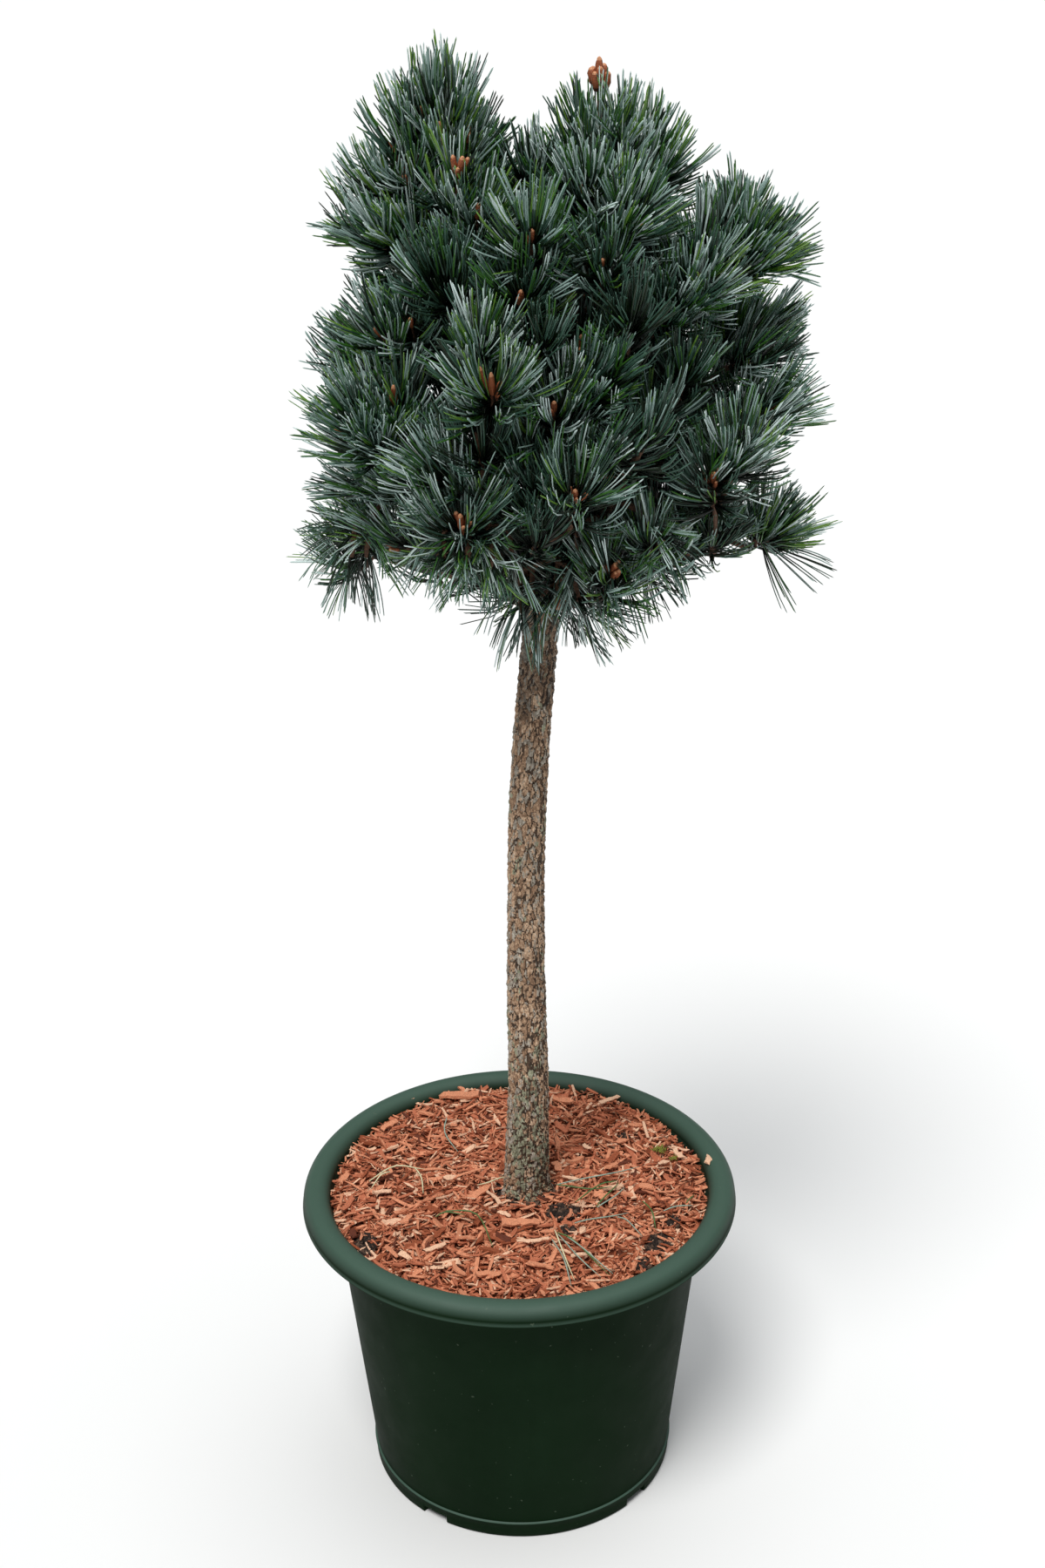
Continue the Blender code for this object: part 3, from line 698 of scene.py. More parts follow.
# ------------------------------------------------------------------ limbs
TRUNK = (
    (0.3003, 0.0066, 0.0240),
    (0.3120, 0.0068, 0.0218),
    (0.3400, 0.0078, 0.0205),
    (0.4120, 0.0098, 0.0190),
    (0.5000, 0.0090, 0.0179),
    (0.5800, 0.0094, 0.0171),
    (0.6700, 0.0107, 0.0165),
    (0.7400, 0.0140, 0.0162),
    (0.8200, 0.0200, 0.0156),
    (0.8900, 0.0260, 0.0146),
    (0.9600, 0.0290, 0.0132),
    (1.0300, 0.0330, 0.0115),
    (1.1000, 0.0440, 0.0092),
    (1.1700, 0.0580, 0.0070),
    (1.2300, 0.0690, 0.0048),
)
BOUGHS = (
    ("leader_left", "trunk", 1.000, 178, 0.082, 1.235, 0.0100, 0.0042, -0.012),
    ("left_upper", "leader_left", 1.130, 182, 0.070, 1.190, 0.0058, 0.0034, 0.000),
    ("right_upper", "trunk", 1.075, 1, 0.118, 1.170, 0.0070, 0.0036, -0.010),
    ("front_upper", "trunk", 1.020, -105, 0.095, 1.130, 0.0075, 0.0038, -0.012),
    ("back_upper", "trunk", 1.035, 88, 0.080, 1.150, 0.0070, 0.0038, -0.010),
    ("left_mid", "trunk", 0.955, 190, 0.120, 1.070, 0.0080, 0.0036, -0.014),
    ("right_mid", "trunk", 0.970, -6, 0.128, 1.060, 0.0080, 0.0036, -0.012),
    ("front_left", "trunk", 0.925, -122, 0.120, 1.005, 0.0075, 0.0036, -0.014),
    ("front_right", "trunk", 0.940, -62, 0.108, 1.015, 0.0075, 0.0036, -0.012),
    ("back_left", "trunk", 0.930, 133, 0.120, 1.030, 0.0078, 0.0036, -0.012),
    ("back_right", "trunk", 0.950, 52, 0.120, 1.040, 0.0078, 0.0036, -0.012),
    ("left_low", "trunk", 0.895, 186, 0.142, 0.948, 0.0074, 0.0034, 0.008),
    ("right_low", "trunk", 0.905, 2, 0.150, 0.952, 0.0074, 0.0034, 0.012),
    ("front_low", "trunk", 0.890, -75, 0.070, 0.938, 0.0055, 0.0032, 0.004),
)


def at_height(path, radii, height):
    for k in range(len(path) - 1):
        if path[k][2] <= height <= path[k + 1][2]:
            s = (height - path[k][2]) / (path[k + 1][2] - path[k][2])
            return path[k] + s * (path[k + 1] - path[k]), radii[k] + s * (radii[k + 1] - radii[k])
    return path[-1].copy(), radii[-1]


def limb_paths():
    limbs = {"trunk": (np.array([[x, 0.0, z] for z, x, r in TRUNK]),
                       np.array([r for z, x, r in TRUNK]))}
    for name, carrier, height, azimuth, reach, tip_z, root_r, tip_r, bow in BOUGHS:
        start, thick = at_height(*limbs[carrier], height)
        turn = math.radians(azimuth)
        out = np.array([math.cos(turn), math.sin(turn), 0.0])
        start = start + out * 0.35 * thick
        tip = start + np.array([out[0] * reach, out[1] * reach, tip_z - start[2]])
        path, radii = [], []
        for k in range(6):
            s = k / 5
            spot = start + (tip - start) * s
            spot[2] += 4.0 * bow * s * (1.0 - s)
            sway = 0.004 * math.sin(math.pi * s * 2.0 + azimuth)
            spot[0] -= math.sin(turn) * sway
            spot[1] += math.cos(turn) * sway
            path.append(spot)
            radii.append(root_r + s * (tip_r - root_r))
        limbs[name] = (np.array(path), np.array(radii))
    return limbs


LIMBS = limb_paths()


def bark_tube(path, radii, cols, heights, relief, cell, seed, mossy, cleft):
    """A limb whose skin is laid in small lapping plates, with cracks between them.

    heights are the places along the limb, 0 to 1, where its rings lie; cell is a
    plate's width and height; mossy and cleft say how much lichen and how deep the
    long clefts are at a place."""
    rows = len(heights)
    fine = smooth_path(path, 400)
    at = np.linspace(0, 1, 400)
    spine = np.stack([np.interp(heights, at, fine[:, k]) for k in range(3)], -1)
    thick = np.interp(heights, np.linspace(0, 1, len(path)), radii)
    t, u, v = frames_along(spine)
    a = np.linspace(0, 2 * math.pi, cols, endpoint=False)
    run = np.concatenate([[0], np.cumsum(np.linalg.norm(np.diff(spine, axis=0), axis=1))])
    co = np.empty((rows, cols, 3))
    kind = np.zeros((rows, cols), int)
    for i in range(rows):
        r0 = thick[i]
        moss, deep = mossy(spine[i]), cleft(spine[i])
        for j in range(cols):
            cx, cy = math.cos(a[j]), math.sin(a[j])
            warp = noise.noise(Vector((cx * r0 * 110, cy * r0 * 110 + seed, run[i] * 60)))
            q = Vector((cx * r0 / cell[0] + seed + 0.7 * warp, cy * r0 / cell[0] + 0.4 * warp,
                        run[i] / cell[1] + 0.6 * warp))
            far, spots = noise.voronoi(q)
            crack = math.exp(-((far[1] - far[0]) / 0.15) ** 2)
            pick = math.sin(spots[0][0] * 12.9898 + spots[0][1] * 78.233 + spots[0][2] * 37.719) * 43758.5453
            pick -= math.floor(pick)
            # a plate's lower edge stands off the stem
            edge = max(-0.5, min(0.6, spots[0][2] - q[2]))
            flake = noise.fractal(Vector((cx * r0 * 520, cy * r0 * 520 + seed, run[i] * 260)), 0.8, 2.0, 4)
            long = noise.noise(Vector((cx * r0 * 200 + seed, cy * r0 * 200, run[i] * 26 + 0.5 * warp)))
            split = math.exp(-(long / 0.07) ** 2) * deep
            swell = noise.noise(Vector((cx * 0.8, cy * 0.8 + seed, run[i] * 9)))
            r = r0 + relief * (0.70 * pick + 0.55 * edge + 0.75 * flake - 0.9 * crack - 1.4 * split)
            co[i, j] = spine[i] + (r + 0.05 * r0 * swell) * (cx * u[i] + cy * v[i])
            if crack > 0.66 + 0.5 * flake or split > 0.55 + 0.4 * flake:
                kind[i, j] = 4
            else:
                patch = noise.noise(Vector((cx * 1.5 + seed, cy * 1.5, run[i] * 22)))
                patch += 0.8 * noise.noise(Vector((cx * r0 * 260, cy * r0 * 260, run[i] * 140 + seed)))
                if moss + 0.55 * patch > 0.5:
                    kind[i, j] = 3
                else:
                    again = pick + 0.45 * flake
                    kind[i, j] = 0 if again < 0.38 else 1 if again < 0.72 else 2
    faces = grid_faces(rows, cols)
    return spine, thick, co.reshape(-1, 3), faces, kind.reshape(-1)[faces[:, 0]]


def trunk_moss(spot):
    return max(0.16, min(0.56, 0.56 - (spot[2] - 0.32) * 1.9))


def trunk_cleft(spot):
    return max(0.25, min(1.0, 1.0 - (spot[2] - 0.36) * 2.2))


def build_trunk():
    path, radii = LIMBS["trunk"]
    cols = 116
    # closer rings where the stem shows
    heights = np.concatenate([np.linspace(0, 0.675, 600, endpoint=False), np.linspace(0.675, 1, 110)])
    spine, thick, co, faces, kind = bark_tube(path, radii, cols, heights, 0.0012, (0.0043, 0.0104), 3.0,
                                              trunk_moss, trunk_cleft)
    rows = len(heights)
    co = co.reshape(rows, cols, 3)
    # root flare: low swellings, cut level at the ground
    for i in range(rows):
        rise = spine[i][2] - TRUNK[0][0]
        if rise < 0.03:
            off = co[i] - spine[i]
            ang = np.arctan2(off[:, 1], off[:, 0])
            off[:, :2] *= (1.0 + 0.10 * (1 - rise / 0.03) ** 2 * np.cos(5 * ang + 0.6))[:, None]
            co[i] = spine[i] + off
    co[0, :, 2] = TRUNK[0][0]
    co = co.reshape(-1, 3)
    # up in the crown the stem is painted darker, in two steps: painted shade of the needles over it
    spot = co[faces[:, 0]]
    turn = np.arctan2(spot[:, 1], spot[:, 0] - 0.01)
    high = spot[:, 2] + 0.016 * np.sin(3 * turn + 1.0) + 0.009 * np.sin(8 * turn)
    kind = kind + len(BARK_TONES) * ((high > 0.80).astype(int) + (high > 0.92))
    mats = bark_materials("stem_", 1.22) + bark_materials("shade_", 0.62) + bark_materials("crown_painted_shade_", 0.30)
    trunk = mesh_object("trunk_bark", co, faces, mats, kind)
    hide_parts("trunk")


def build_boughs():
    # the boughs inside the crown take the bark tones dimmed to 0.30: painted shade of the needles around them
    mats = bark_materials("bough_", 0.30)
    for k, row in enumerate(BOUGHS):
        path, radii = LIMBS[row[0]]
        length = np.linalg.norm(np.diff(path, axis=0), axis=1).sum()
        heights = np.linspace(0, 1, int(length / 0.0022))
        spine, thick, co, faces, kind = bark_tube(path, radii, 28, heights, 0.0006, (0.0034, 0.0080),
                                                  11.0 + k, lambda spot: 0.10, lambda spot: 0.3)
        bough = mesh_object("bark_" + row[0], co, faces, mats, kind)
        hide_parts("bough_" + row[0])


build_trunk()
build_boughs()

# ------------------------------------------------------------------ crown
MASS = {}
for node_name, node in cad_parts.items():
    if node_name.startswith("mass_"):
        pts = np.array([v.co[:] for v in node.data.vertices])
        low, high = pts.min(0), pts.max(0)
        MASS[node_name] = {"centre": pts.mean(0), "size": float(np.mean(high - low)) / 2,
                           "low": low, "high": high}
CROWN_CENTRE = np.array([0.034, 0.0, 1.05])

# tufts that show from the front: place of the shoot's tip in the picture, lean
# from upright (degrees, to the right), how much it faces the viewer, size,
# tone, number of buds, length of the longest bud in mm
# tone: 0 deep, 1 middle, 2 fresh green, 3 silvery, 4 darkest, painted shade of the crown's heart
TUFTS = (
    (502, 126, -3, 0.2, 0.93, 3, 1, 16), (518, 122, 3, 0.15, 0.90, 2, 0, 0), (487, 134, -16, 0.1, 0.90, 3, 1, 9),
    (522, 124, 5, 0.1, 0.92, 3, 0, 0), (536, 158, 10, 0.3, 0.85, 3, 2, 11),
    (508, 168, -4, 0.5, 0.90, 3, 2, 24), (529, 198, 8, 0.5, 0.90, 1, 4, 15),
    (452, 176, -34, 0.2, 0.92, 3, 1, 12), (467, 206, -20, 0.5, 0.95, 3, 3, 15),
    (424, 276, -62, 0.3, 1.05, 3, 1, 9), (454, 268, -34, 0.4, 1.00, 1, 2, 9),
    (440, 284, -80, 0.1, 0.92, 2, 0, 0), (549, 250, 4, 0.5, 0.95, 3, 1, 14),
    (611, 273, 0, 0.6, 1.00, 1, 2, 9), (598, 343, 2, 0.7, 0.95, 0, 2, 9),
    (519, 332, -5, 0.5, 0.95, 0, 0, 0), (488, 322, -38, 0.3, 0.85, 0, 0, 0),
    (636, 214, 0, 0.4, 1.00, 3, 1, 9), (602, 206, -10, 0.2, 0.90, 1, 0, 0),
    (684, 163, -4, 0.2, 1.00, 3, 0, 0), (703, 166, 4, 0.2, 0.95, 3, 0, 0), (668, 222, -6, 0.5, 0.95, 3, 1, 9),
    (668, 168, -8, 0.1, 0.94, 2, 0, 0), (838, 264, -6, 0.1, 0.95, 1, 0, 0),
    (434, 222, -38, 0.2, 0.82, 3, 0, 0),
    (410, 424, -66, 0.2, 0.95, 1, 0, 0), (418, 524, -84, 0.2, 0.95, 1, 0, 0),
    (408, 602, -82, 0.2, 0.92, 1, 0, 0), (880, 392, 70, 0.2, 1.00, 1, 0, 0),
    (668, 696, 164, 0.3, 0.85, 1, 0, 0),
    (716, 170, 10, 0.2, 1.02, 3, 0, 0), (744, 180, 24, 0.2, 1.00, 3, 0, 0),
    (764, 204, 46, 0.2, 0.90, 3, 0, 0), (730, 262, 52, 0.5, 1.00, 1, 1, 8),
    (720, 244, 20, 0.4, 1.00, 3, 0, 0), (692, 306, -2, 0.6, 0.90, 0, 1, 8),
    (864, 298, 56, 0.3, 1.06, 2, 0, 0), (846, 284, 14, 0.3, 1.08, 1, 0, 0),
    (799, 326, 6, 0.6, 1.00, 1, 1, 11), (791, 338, 36, 0.4, 0.90, 1, 1, 9),
    (806, 286, 8, 0.2, 0.95, 1, 0, 0),
    (767, 356, 10, 0.6, 0.95, 0, 2, 8), (880, 306, 80, 0.2, 0.90, 2, 0, 0),
    (872, 394, 58, 0.2, 0.95, 3, 0, 0), (842, 392, 28, 0.2, 0.95, 3, 0, 0),
    (876, 418, 88, 0.2, 0.80, 0, 0, 0),
    (785, 434, 8, 0.5, 0.90, 0, 0, 0), (473, 374, -10, 0.6, 0.95, 0, 1, 8),
    (436, 384, -34, 0.3, 0.90, 1, 1, 8), (416, 404, -54, 0.2, 0.80, 3, 0, 0),
    (408, 446, -46, 0.2, 0.85, 1, 0, 0), (416, 474, -26, 0.3, 0.85, 0, 0, 0),
    (455, 460, -6, 0.5, 0.95, 1, 2, 16), (406, 498, -72, 0.3, 1.00, 1, 1, 16),
    (422, 512, -34, 0.4, 0.90, 3, 0, 0), (479, 532, -4, 0.5, 0.95, 1, 1, 12),
    (506, 552, -56, 0.4, 1.00, 3, 1, 8), (446, 566, -80, 0.3, 1.00, 3, 0, 0),
    (414, 566, -92, 0.1, 0.80, 1, 0, 0), (550, 396, 0, 0.6, 0.90, 3, 0, 0),
    (565, 454, 1, 0.9, 1.15, 2, 3, 29), (530, 606, -2, 0.8, 1.25, 1, 5, 18),
    (455, 626, -70, 0.3, 0.90, 3, 2, 10), (396, 646, -54, 0.2, 0.85, 1, 1, 16),
    (398, 662, -150, 0.2, 0.80, 0, 0, 0), (420, 640, -172, 0.2, 0.72, 1, 0, 0),
    (548, 640, 206, 0.2, 0.75, 3, 0, 0), (588, 646, 178, 0.1, 0.70, 0, 0, 0),
    (524, 620, 222, 0.3, 0.80, 3, 0, 0), (510, 640, 176, 1.2, 0.68, 3, 0, 0),
    (536, 646, 190, 1.2, 0.68, 3, 0, 0), (566, 652, 172, 1.2, 0.70, 1, 0, 0), (546, 492, -10, -0.2, 0.90, 4, 0, 0),
    (404, 640, 186, 0.3, 0.88, 0, 0, 0), (598, 704, 180, 0.5, 0.94, 1, 0, 0), (613, 698, 174, 0.7, 0.86, 0, 0, 0), (745, 622, -12, 0.6, 0.84, 1, 0, 0), (724, 374, 2, 0.5, 0.85, 4, 0, 0), (818, 616, -4, 0.8, 0.82, 0, 0, 0),
    (411, 612, -24, 0.6, 0.82, 1, 0, 0),
    (797, 618, 14, 0.6, 0.84, 1, 0, 0), (760, 634, 150, 0.7, 0.74, 1, 0, 0), (466, 134, -14, 0.1, 0.80, 3, 0, 0), (636, 470, 2, 0.6, 0.95, 1, 2, 9),
    (674, 442, 24, 0.5, 1.00, 1, 1, 9), (704, 446, 54, 0.4, 0.95, 1, 0, 0),
    (884, 470, 38, 0.4, 1.00, 1, 1, 8), (850, 512, 8, 0.5, 1.00, 1, 0, 0),
    (880, 482, 72, 0.2, 1.05, 1, 0, 0), (820, 552, -6, 0.6, 0.95, 0, 4, 10),
    (838, 548, 66, 0.2, 0.80, 1, 0, 0), (660, 570, 4, 0.8, 1.15, 1, 4, 9),
    (763, 594, 4, 0.5, 0.95, 0, 3, 9), (704, 656, 12, 0.7, 1.05, 1, 5, 12),
    (716, 660, 124, 0.4, 0.85, 1, 0, 0), (640, 688, 178, 0.6, 0.85, 1, 3, 9),
    (622, 684, 232, 0.4, 0.75, 0, 0, 0), (893, 616, 72, 0.2, 0.90, 2, 1, 16),
    (878, 604, 18, 0.3, 1.00, 1, 0, 0), (884, 628, 118, 0.2, 0.90, 0, 0, 0),
    (764, 622, 140, 0.3, 0.72, 1, 0, 0), (826, 596, 6, 0.2, 0.80, 0, 0, 0),
    (668, 650, 168, 0.3, 0.72, 0, 0, 0), (742, 506, 20, 0.5, 0.85, 0, 0, 0),
    (700, 522, 40, 0.5, 0.85, 0, 0, 0), (762, 474, 30, 0.4, 0.85, 0, 0, 0),
    (690, 154, 2, 0.35, 0.80, 3, 0, 0), (600, 530, -8, 0.2, 0.80, 4, 0, 0), (628, 560, 10, 0.1, 0.75, 4, 0, 0),
    (588, 590, -40, 0.2, 0.78, 4, 0, 0), (620, 620, 30, 0.3, 0.78, 4, 0, 0),
)
# where one looks past the outer shoots into the shaded heart, tufts take dark tones (painted shade): place and
# radius
POCKETS = ((664, 356, 26), (545, 284, 18), (745, 312, 18), (736, 412, 36), (500, 462, 26),
           (605, 500, 36), (712, 478, 18), (712, 562, 24), (745, 545, 44), (790, 530, 24), (668, 318, 22))
# where sky shows between the hanging needles of the lowest shoots
OPEN_SKY = ((481, 676, 25), (812, 672, 34), (436, 690, 16))
# bundles of five needles on a shoot
FRONT_BUNDLES, BACK_BUNDLES, CORE_BUNDLES = 42, 34, 22
# the right-hand top's long bare stem and its knot of buds
TOP_STEM = ((690, 172), (688, 95))


def mass_for(px, py):
    """The mass that a ray through the picture enters nearest its middle."""
    way = ray(px, py)
    best, found = 1e9, None
    for name, m in MASS.items():
        off = m["centre"] - CAM_AT
        depth = float(off @ way)
        miss = float(np.linalg.norm(off - way * depth))
        score = miss / m["size"] + (depth - 1.6) * 3.0
        if miss < 1.25 * m["size"] and score < best:
            best, found = score, name
    if found is None:
        found = min(MASS, key=lambda k: np.linalg.norm(np.cross(MASS[k]["centre"] - CAM_AT, way)))
    return found, way


def project(p):
    """Where a point lies in the picture, and how deep."""
    d = np.asarray(p) - CAM_AT
    z = float(d @ CAM_AHEAD)
    return (600.0 + LENS_PX * float(d @ CAM_RIGHT) / z,
            900.0 - LENS_PX * float(d @ CAM_UP) / z, z)


def inside_masses(p, grow):
    return min(np.linalg.norm(p - m["centre"]) / m["size"] for m in MASS.values()) <= grow


def place_tufts():
    tufts = []
    for px, py, lean, face, size, tone, buds, bud_mm in TUFTS:
        name, way = mass_for(px, py)
        m = MASS[name]
        depth = float((m["centre"] - CAM_AT) @ way) - 0.30 * m["size"] * face
        base = CAM_AT + way * depth
        a = math.radians(lean)
        axis = unit(math.sin(a) * np.array([1.0, 0, 0]) + math.cos(a) * UP
                    + face * np.array([0, -1.0, 0.0]))
        tufts.append({"mass": name, "base": base, "axis": axis, "size": size, "tone": tone,
                      "hang": math.cos(a) < -0.3, "buds": buds, "bud": bud_mm / 1000.0,
                      "fine": True, "clear": buds > 0 and face >= 0.4, "reach": 1.0,
                      "bundles": int((FRONT_BUNDLES if math.cos(a) >= -0.3 else 15) * size ** 1.4)})
        # the leading shoots carry needles further down
        if py < 200 and abs(lean) < 20:
            tufts[-1]["reach"] = 1.8
        if py < 215:
            tufts[-1]["bundles"] = int(tufts[-1]["bundles"] * (0.72 if px < 570 else 0.88))
    front = [project(t["base"]) for t in tufts]

    def hides(p):
        x, y, z = project(p)
        return any(math.hypot(x - fx, y - fy) < 62 and z < fz + 0.022 for fx, fy, fz in front)

    def clears(p, axis):
        x, y, _ = project(p + 0.035 * axis)
        return all(math.hypot(x - a, y - b) > r for a, b, r in OPEN_SKY)

    # short shoots on the limbs fill the crown's shaded heart
    for name, (path, radii) in sorted(LIMBS.items()):
        dense = smooth_path(path, 60)
        dense = dense[dense[:, 2] > 0.885]
        if not len(dense):
            continue
        for _ in range(20 if name == "trunk" else 5):
            for _ in range(20):
                k = int(RNG.integers(len(dense)))
                turn = RNG.random() * 2 * math.pi
                out = np.array([math.cos(turn), math.sin(turn), 0.0])
                spot = dense[k] + out * RNG.uniform(0.022, 0.055) + UP * RNG.uniform(0.0, 0.03)
                gap = min(np.linalg.norm(spot - t["base"]) for t in tufts)
                if gap > 0.020 and not hides(spot) and inside_masses(spot, 1.15):
                    break
            else:
                continue
            near = min(MASS, key=lambda m: np.linalg.norm(MASS[m]["centre"] - spot))
            # these take tone 4, the darkest needles: painted shade of the crown's heart
            tufts.append({"mass": near, "base": spot, "axis": unit(out + RNG.uniform(0.5, 1.4) * UP),
                          "size": RNG.uniform(0.78, 0.92), "tone": 4, "hang": False, "buds": 0,
                          "bud": 0.0, "fine": False, "clear": False, "reach": 1.0, "bundles": CORE_BUNDLES})
    # a fringe of short shoots along both sides of the low boughs
    for name in ("left_low", "right_low", "front_low", "back_left", "back_right", "front_left", "front_right"):
        path, radii = LIMBS[name]
        dense = smooth_path(path, 60)
        run = np.concatenate([[0], np.cumsum(np.linalg.norm(np.diff(dense, axis=0), axis=1))])
        along = units(np.gradient(dense, axis=0))
        place, turn = 0.022, 1.0
        while place < run[-1] - 0.006:
            k = int(np.searchsorted(run, place))
            turn = -turn
            place += RNG.uniform(0.009, 0.014)
            side = unit(np.cross(along[k], UP)) * turn
            axis = unit(0.9 * side + RNG.uniform(0.2, 0.6) * along[k] + RNG.uniform(*((-0.05, 0.55) if name == "left_low" else (-0.50, 0.35))) * UP)
            size = RNG.uniform(0.68, 0.88)
            base = dense[k] + axis * (SHOOT * size * 0.9)
            if hides(base) or not clears(base, axis):
                continue
            near = min(MASS, key=lambda m: np.linalg.norm(MASS[m]["centre"] - base))
            tufts.append({"mass": near, "base": base, "axis": axis, "size": size, "tone": int(RNG.choice([0, 1])),
                          "hang": bool(axis[2] < 0.0), "buds": 0, "bud": 0.0, "fine": False,
                          "clear": False, "reach": 1.0, "bundles": 12})
    # the rest follow from the masses: spread in each, growing out and up
    for name in sorted(MASS):
        m = MASS[name]
        have = [t["base"] for t in tufts if t["mass"] == name]
        dense = 5.9 if m["centre"][1] > 0.02 else 4.7
        wanted = int(np.clip(round((m["size"] / 0.05) ** 2 * dense), 3, 9))
        out = unit((m["centre"] - CROWN_CENTRE) * np.array([1, 1, 0.7]))
        tries = 0
        while len(have) < wanted and tries < 40:
            tries += 1
            best, spot, grown = -1.0, None, None
            for _ in range(40):
                way = unit(RNG.standard_normal(3))
                way = unit(way + 0.35 * out)
                cand = m["centre"] + way * m["size"] * RNG.uniform(0.10, 0.50)
                axis = unit(0.85 * unit(cand - CROWN_CENTRE) + 0.55 * UP
                            + 0.45 * unit(cand - m["centre"]) + 0.22 * RNG.standard_normal(3))
                if hides(cand) or not inside_masses(cand + axis * 0.045, 1.06):
                    continue
                gap = min([np.linalg.norm(cand - t["base"]) for t in tufts], default=1.0)
                if gap > best:
                    best, spot, grown = gap, cand, axis
            if best < 0.019:
                break
            tone = int(RNG.choice([0, 1, 2, 3], p=[0.25, 0.45, 0.12, 0.18]))
            size = RNG.uniform(0.88, 1.04)
            tufts.append({"mass": name, "base": spot, "axis": grown, "size": size, "tone": tone,
                          "hang": False, "buds": int(RNG.choice([0, 1, 2, 4], p=[0.30, 0.33, 0.22, 0.15])),
                          "fine": False, "clear": False, "reach": 1.0,
                          "bud": RNG.uniform(0.010, 0.018), "bundles": int(BACK_BUNDLES * size ** 1.4)})
            have.append(spot)
    # plain shoots wherever the crown would still be hollow
    fans = [t["base"] + 0.030 * t["axis"] for t in tufts]
    spots = []
    while len(spots) < 900:
        p = CROWN_CENTRE + np.array([0.20, 0.17, 0.19]) * RNG.uniform(-1, 1, 3)
        if 0.935 < p[2] < 1.17 and inside_masses(p, 1.18):
            spots.append(p)
    spots = np.array(spots)
    near = np.linalg.norm(spots[:, None] - np.array(fans)[None], axis=2).min(axis=1)
    for _ in range(44):
        k = int(np.argmax(near))
        if near[k] < 0.036:
            break
        p = spots[k]
        near = np.minimum(near, np.linalg.norm(spots - p, axis=1))
        axis = unit(0.9 * unit(p - CROWN_CENTRE) + 0.5 * UP + 0.2 * RNG.standard_normal(3))
        base = p - 0.030 * axis
        if hides(base) or not clears(base, axis):
            continue
        name = min(MASS, key=lambda m: np.linalg.norm(MASS[m]["centre"] - base))
        tufts.append({"mass": name, "base": base, "axis": axis, "size": RNG.uniform(0.82, 0.98),
                      "tone": int(RNG.choice([0, 1])), "hang": False, "buds": 0, "bud": 0.0, "fine": False,
                      "clear": False, "reach": 1.0, "bundles": CORE_BUNDLES + 4})
    # tufts that others stand in front of, on their outer side, are painted darker: painted shade of the tufts
    # outside them
    for t in tufts:
        if t["fine"]:
            continue
        out = unit(t["base"] - np.array([CROWN_CENTRE[0], CROWN_CENTRE[1], min(t["base"][2], 1.05) - 0.04]))
        over = 0
        for o in tufts:
            d = o["base"] - t["base"]
            if o is not t and float(d @ out) > 0.012 and np.linalg.norm(d) < 0.085:
                over += 1
        if over >= 5:
            t["tone"] = 4
        elif over >= 3:
            t["tone"] = 0
    for t in tufts:
        # a tuft seen in a pocket takes a dark tone: painted shade
        x, y, _ = project(t["base"] + 0.022 * t["axis"])
        if any(math.hypot(x - a, y - b) < r for a, b, r in POCKETS):
            t["tone"] = 0 if t["fine"] and t["tone"] != 0 else 4
        # thin underneath
        if t["base"][2] < 0.955:
            t["bundles"] = int(t["bundles"] * 0.6)
    return tufts


NEEDLE = 0.0600          # usual length of a needle
NEEDLE_WIDE = 0.00158
SHOOT = 0.034            # how much of a shoot's end carries needles
# where a needle's rings sit along it, and how thick it is there: blunt at the tip
FINE_STEPS, FINE_GIRTH = (0.0, 0.26, 0.52, 0.76, 0.965, 1.0), (0.70, 0.96, 1.0, 0.96, 0.78, 0.0)
PLAIN_STEPS, PLAIN_GIRTH = (0.0, 0.46, 0.955, 1.0), (0.74, 1.0, 0.86, 0.0)

NEEDLE_TONES = (
    ("needle_frost", rgb(204, 222, 219), 0.36),
    ("needle_silver", rgb(148, 174, 167), 0.36),
    ("needle_haze", rgb(62, 94, 80), 0.38),
    ("needle_green", rgb(50, 98, 29), 0.34),
    ("needle_deep", rgb(15, 34, 12), 0.34),
    ("needle_fresh", rgb(98, 138, 48), 0.36),
    # the darkest tone, given only to needles' lower stretches: painted shade
    ("needle_painted_shade", rgb(7, 19, 9), 0.40),
)


def across(way):
    """Two directions at right angles to each of the ways."""
    ref = np.where(np.abs(way[..., 2:3]) < 0.8, np.array([0.0, 0.0, 1.0]), np.array([1.0, 0.0, 0.0]))
    a = units(np.cross(way, ref))
    return a, np.cross(way, a)


def veils(tuft, root, way, length, ends):
    """Whether a needle would pass in front of the shoot's buds."""
    marks = [project(tuft["base"] + tuft["axis"] * tuft["bud"] * k)[:2] for k in (0.0, 0.35, 0.7, 1.0)]
    room = 4.0 if tuft["buds"] < 3 else 6.5
    for s in (0.15, 0.35, 0.55, 0.8):
        p = root + length * (s * way + 0.5 * s * s * (ends - way))
        x, y, z = project(p)
        if z < project(tuft["base"])[2] + 0.002 and min(math.hypot(x - a, y - b) for a, b in marks) < room:
            return True
    return False


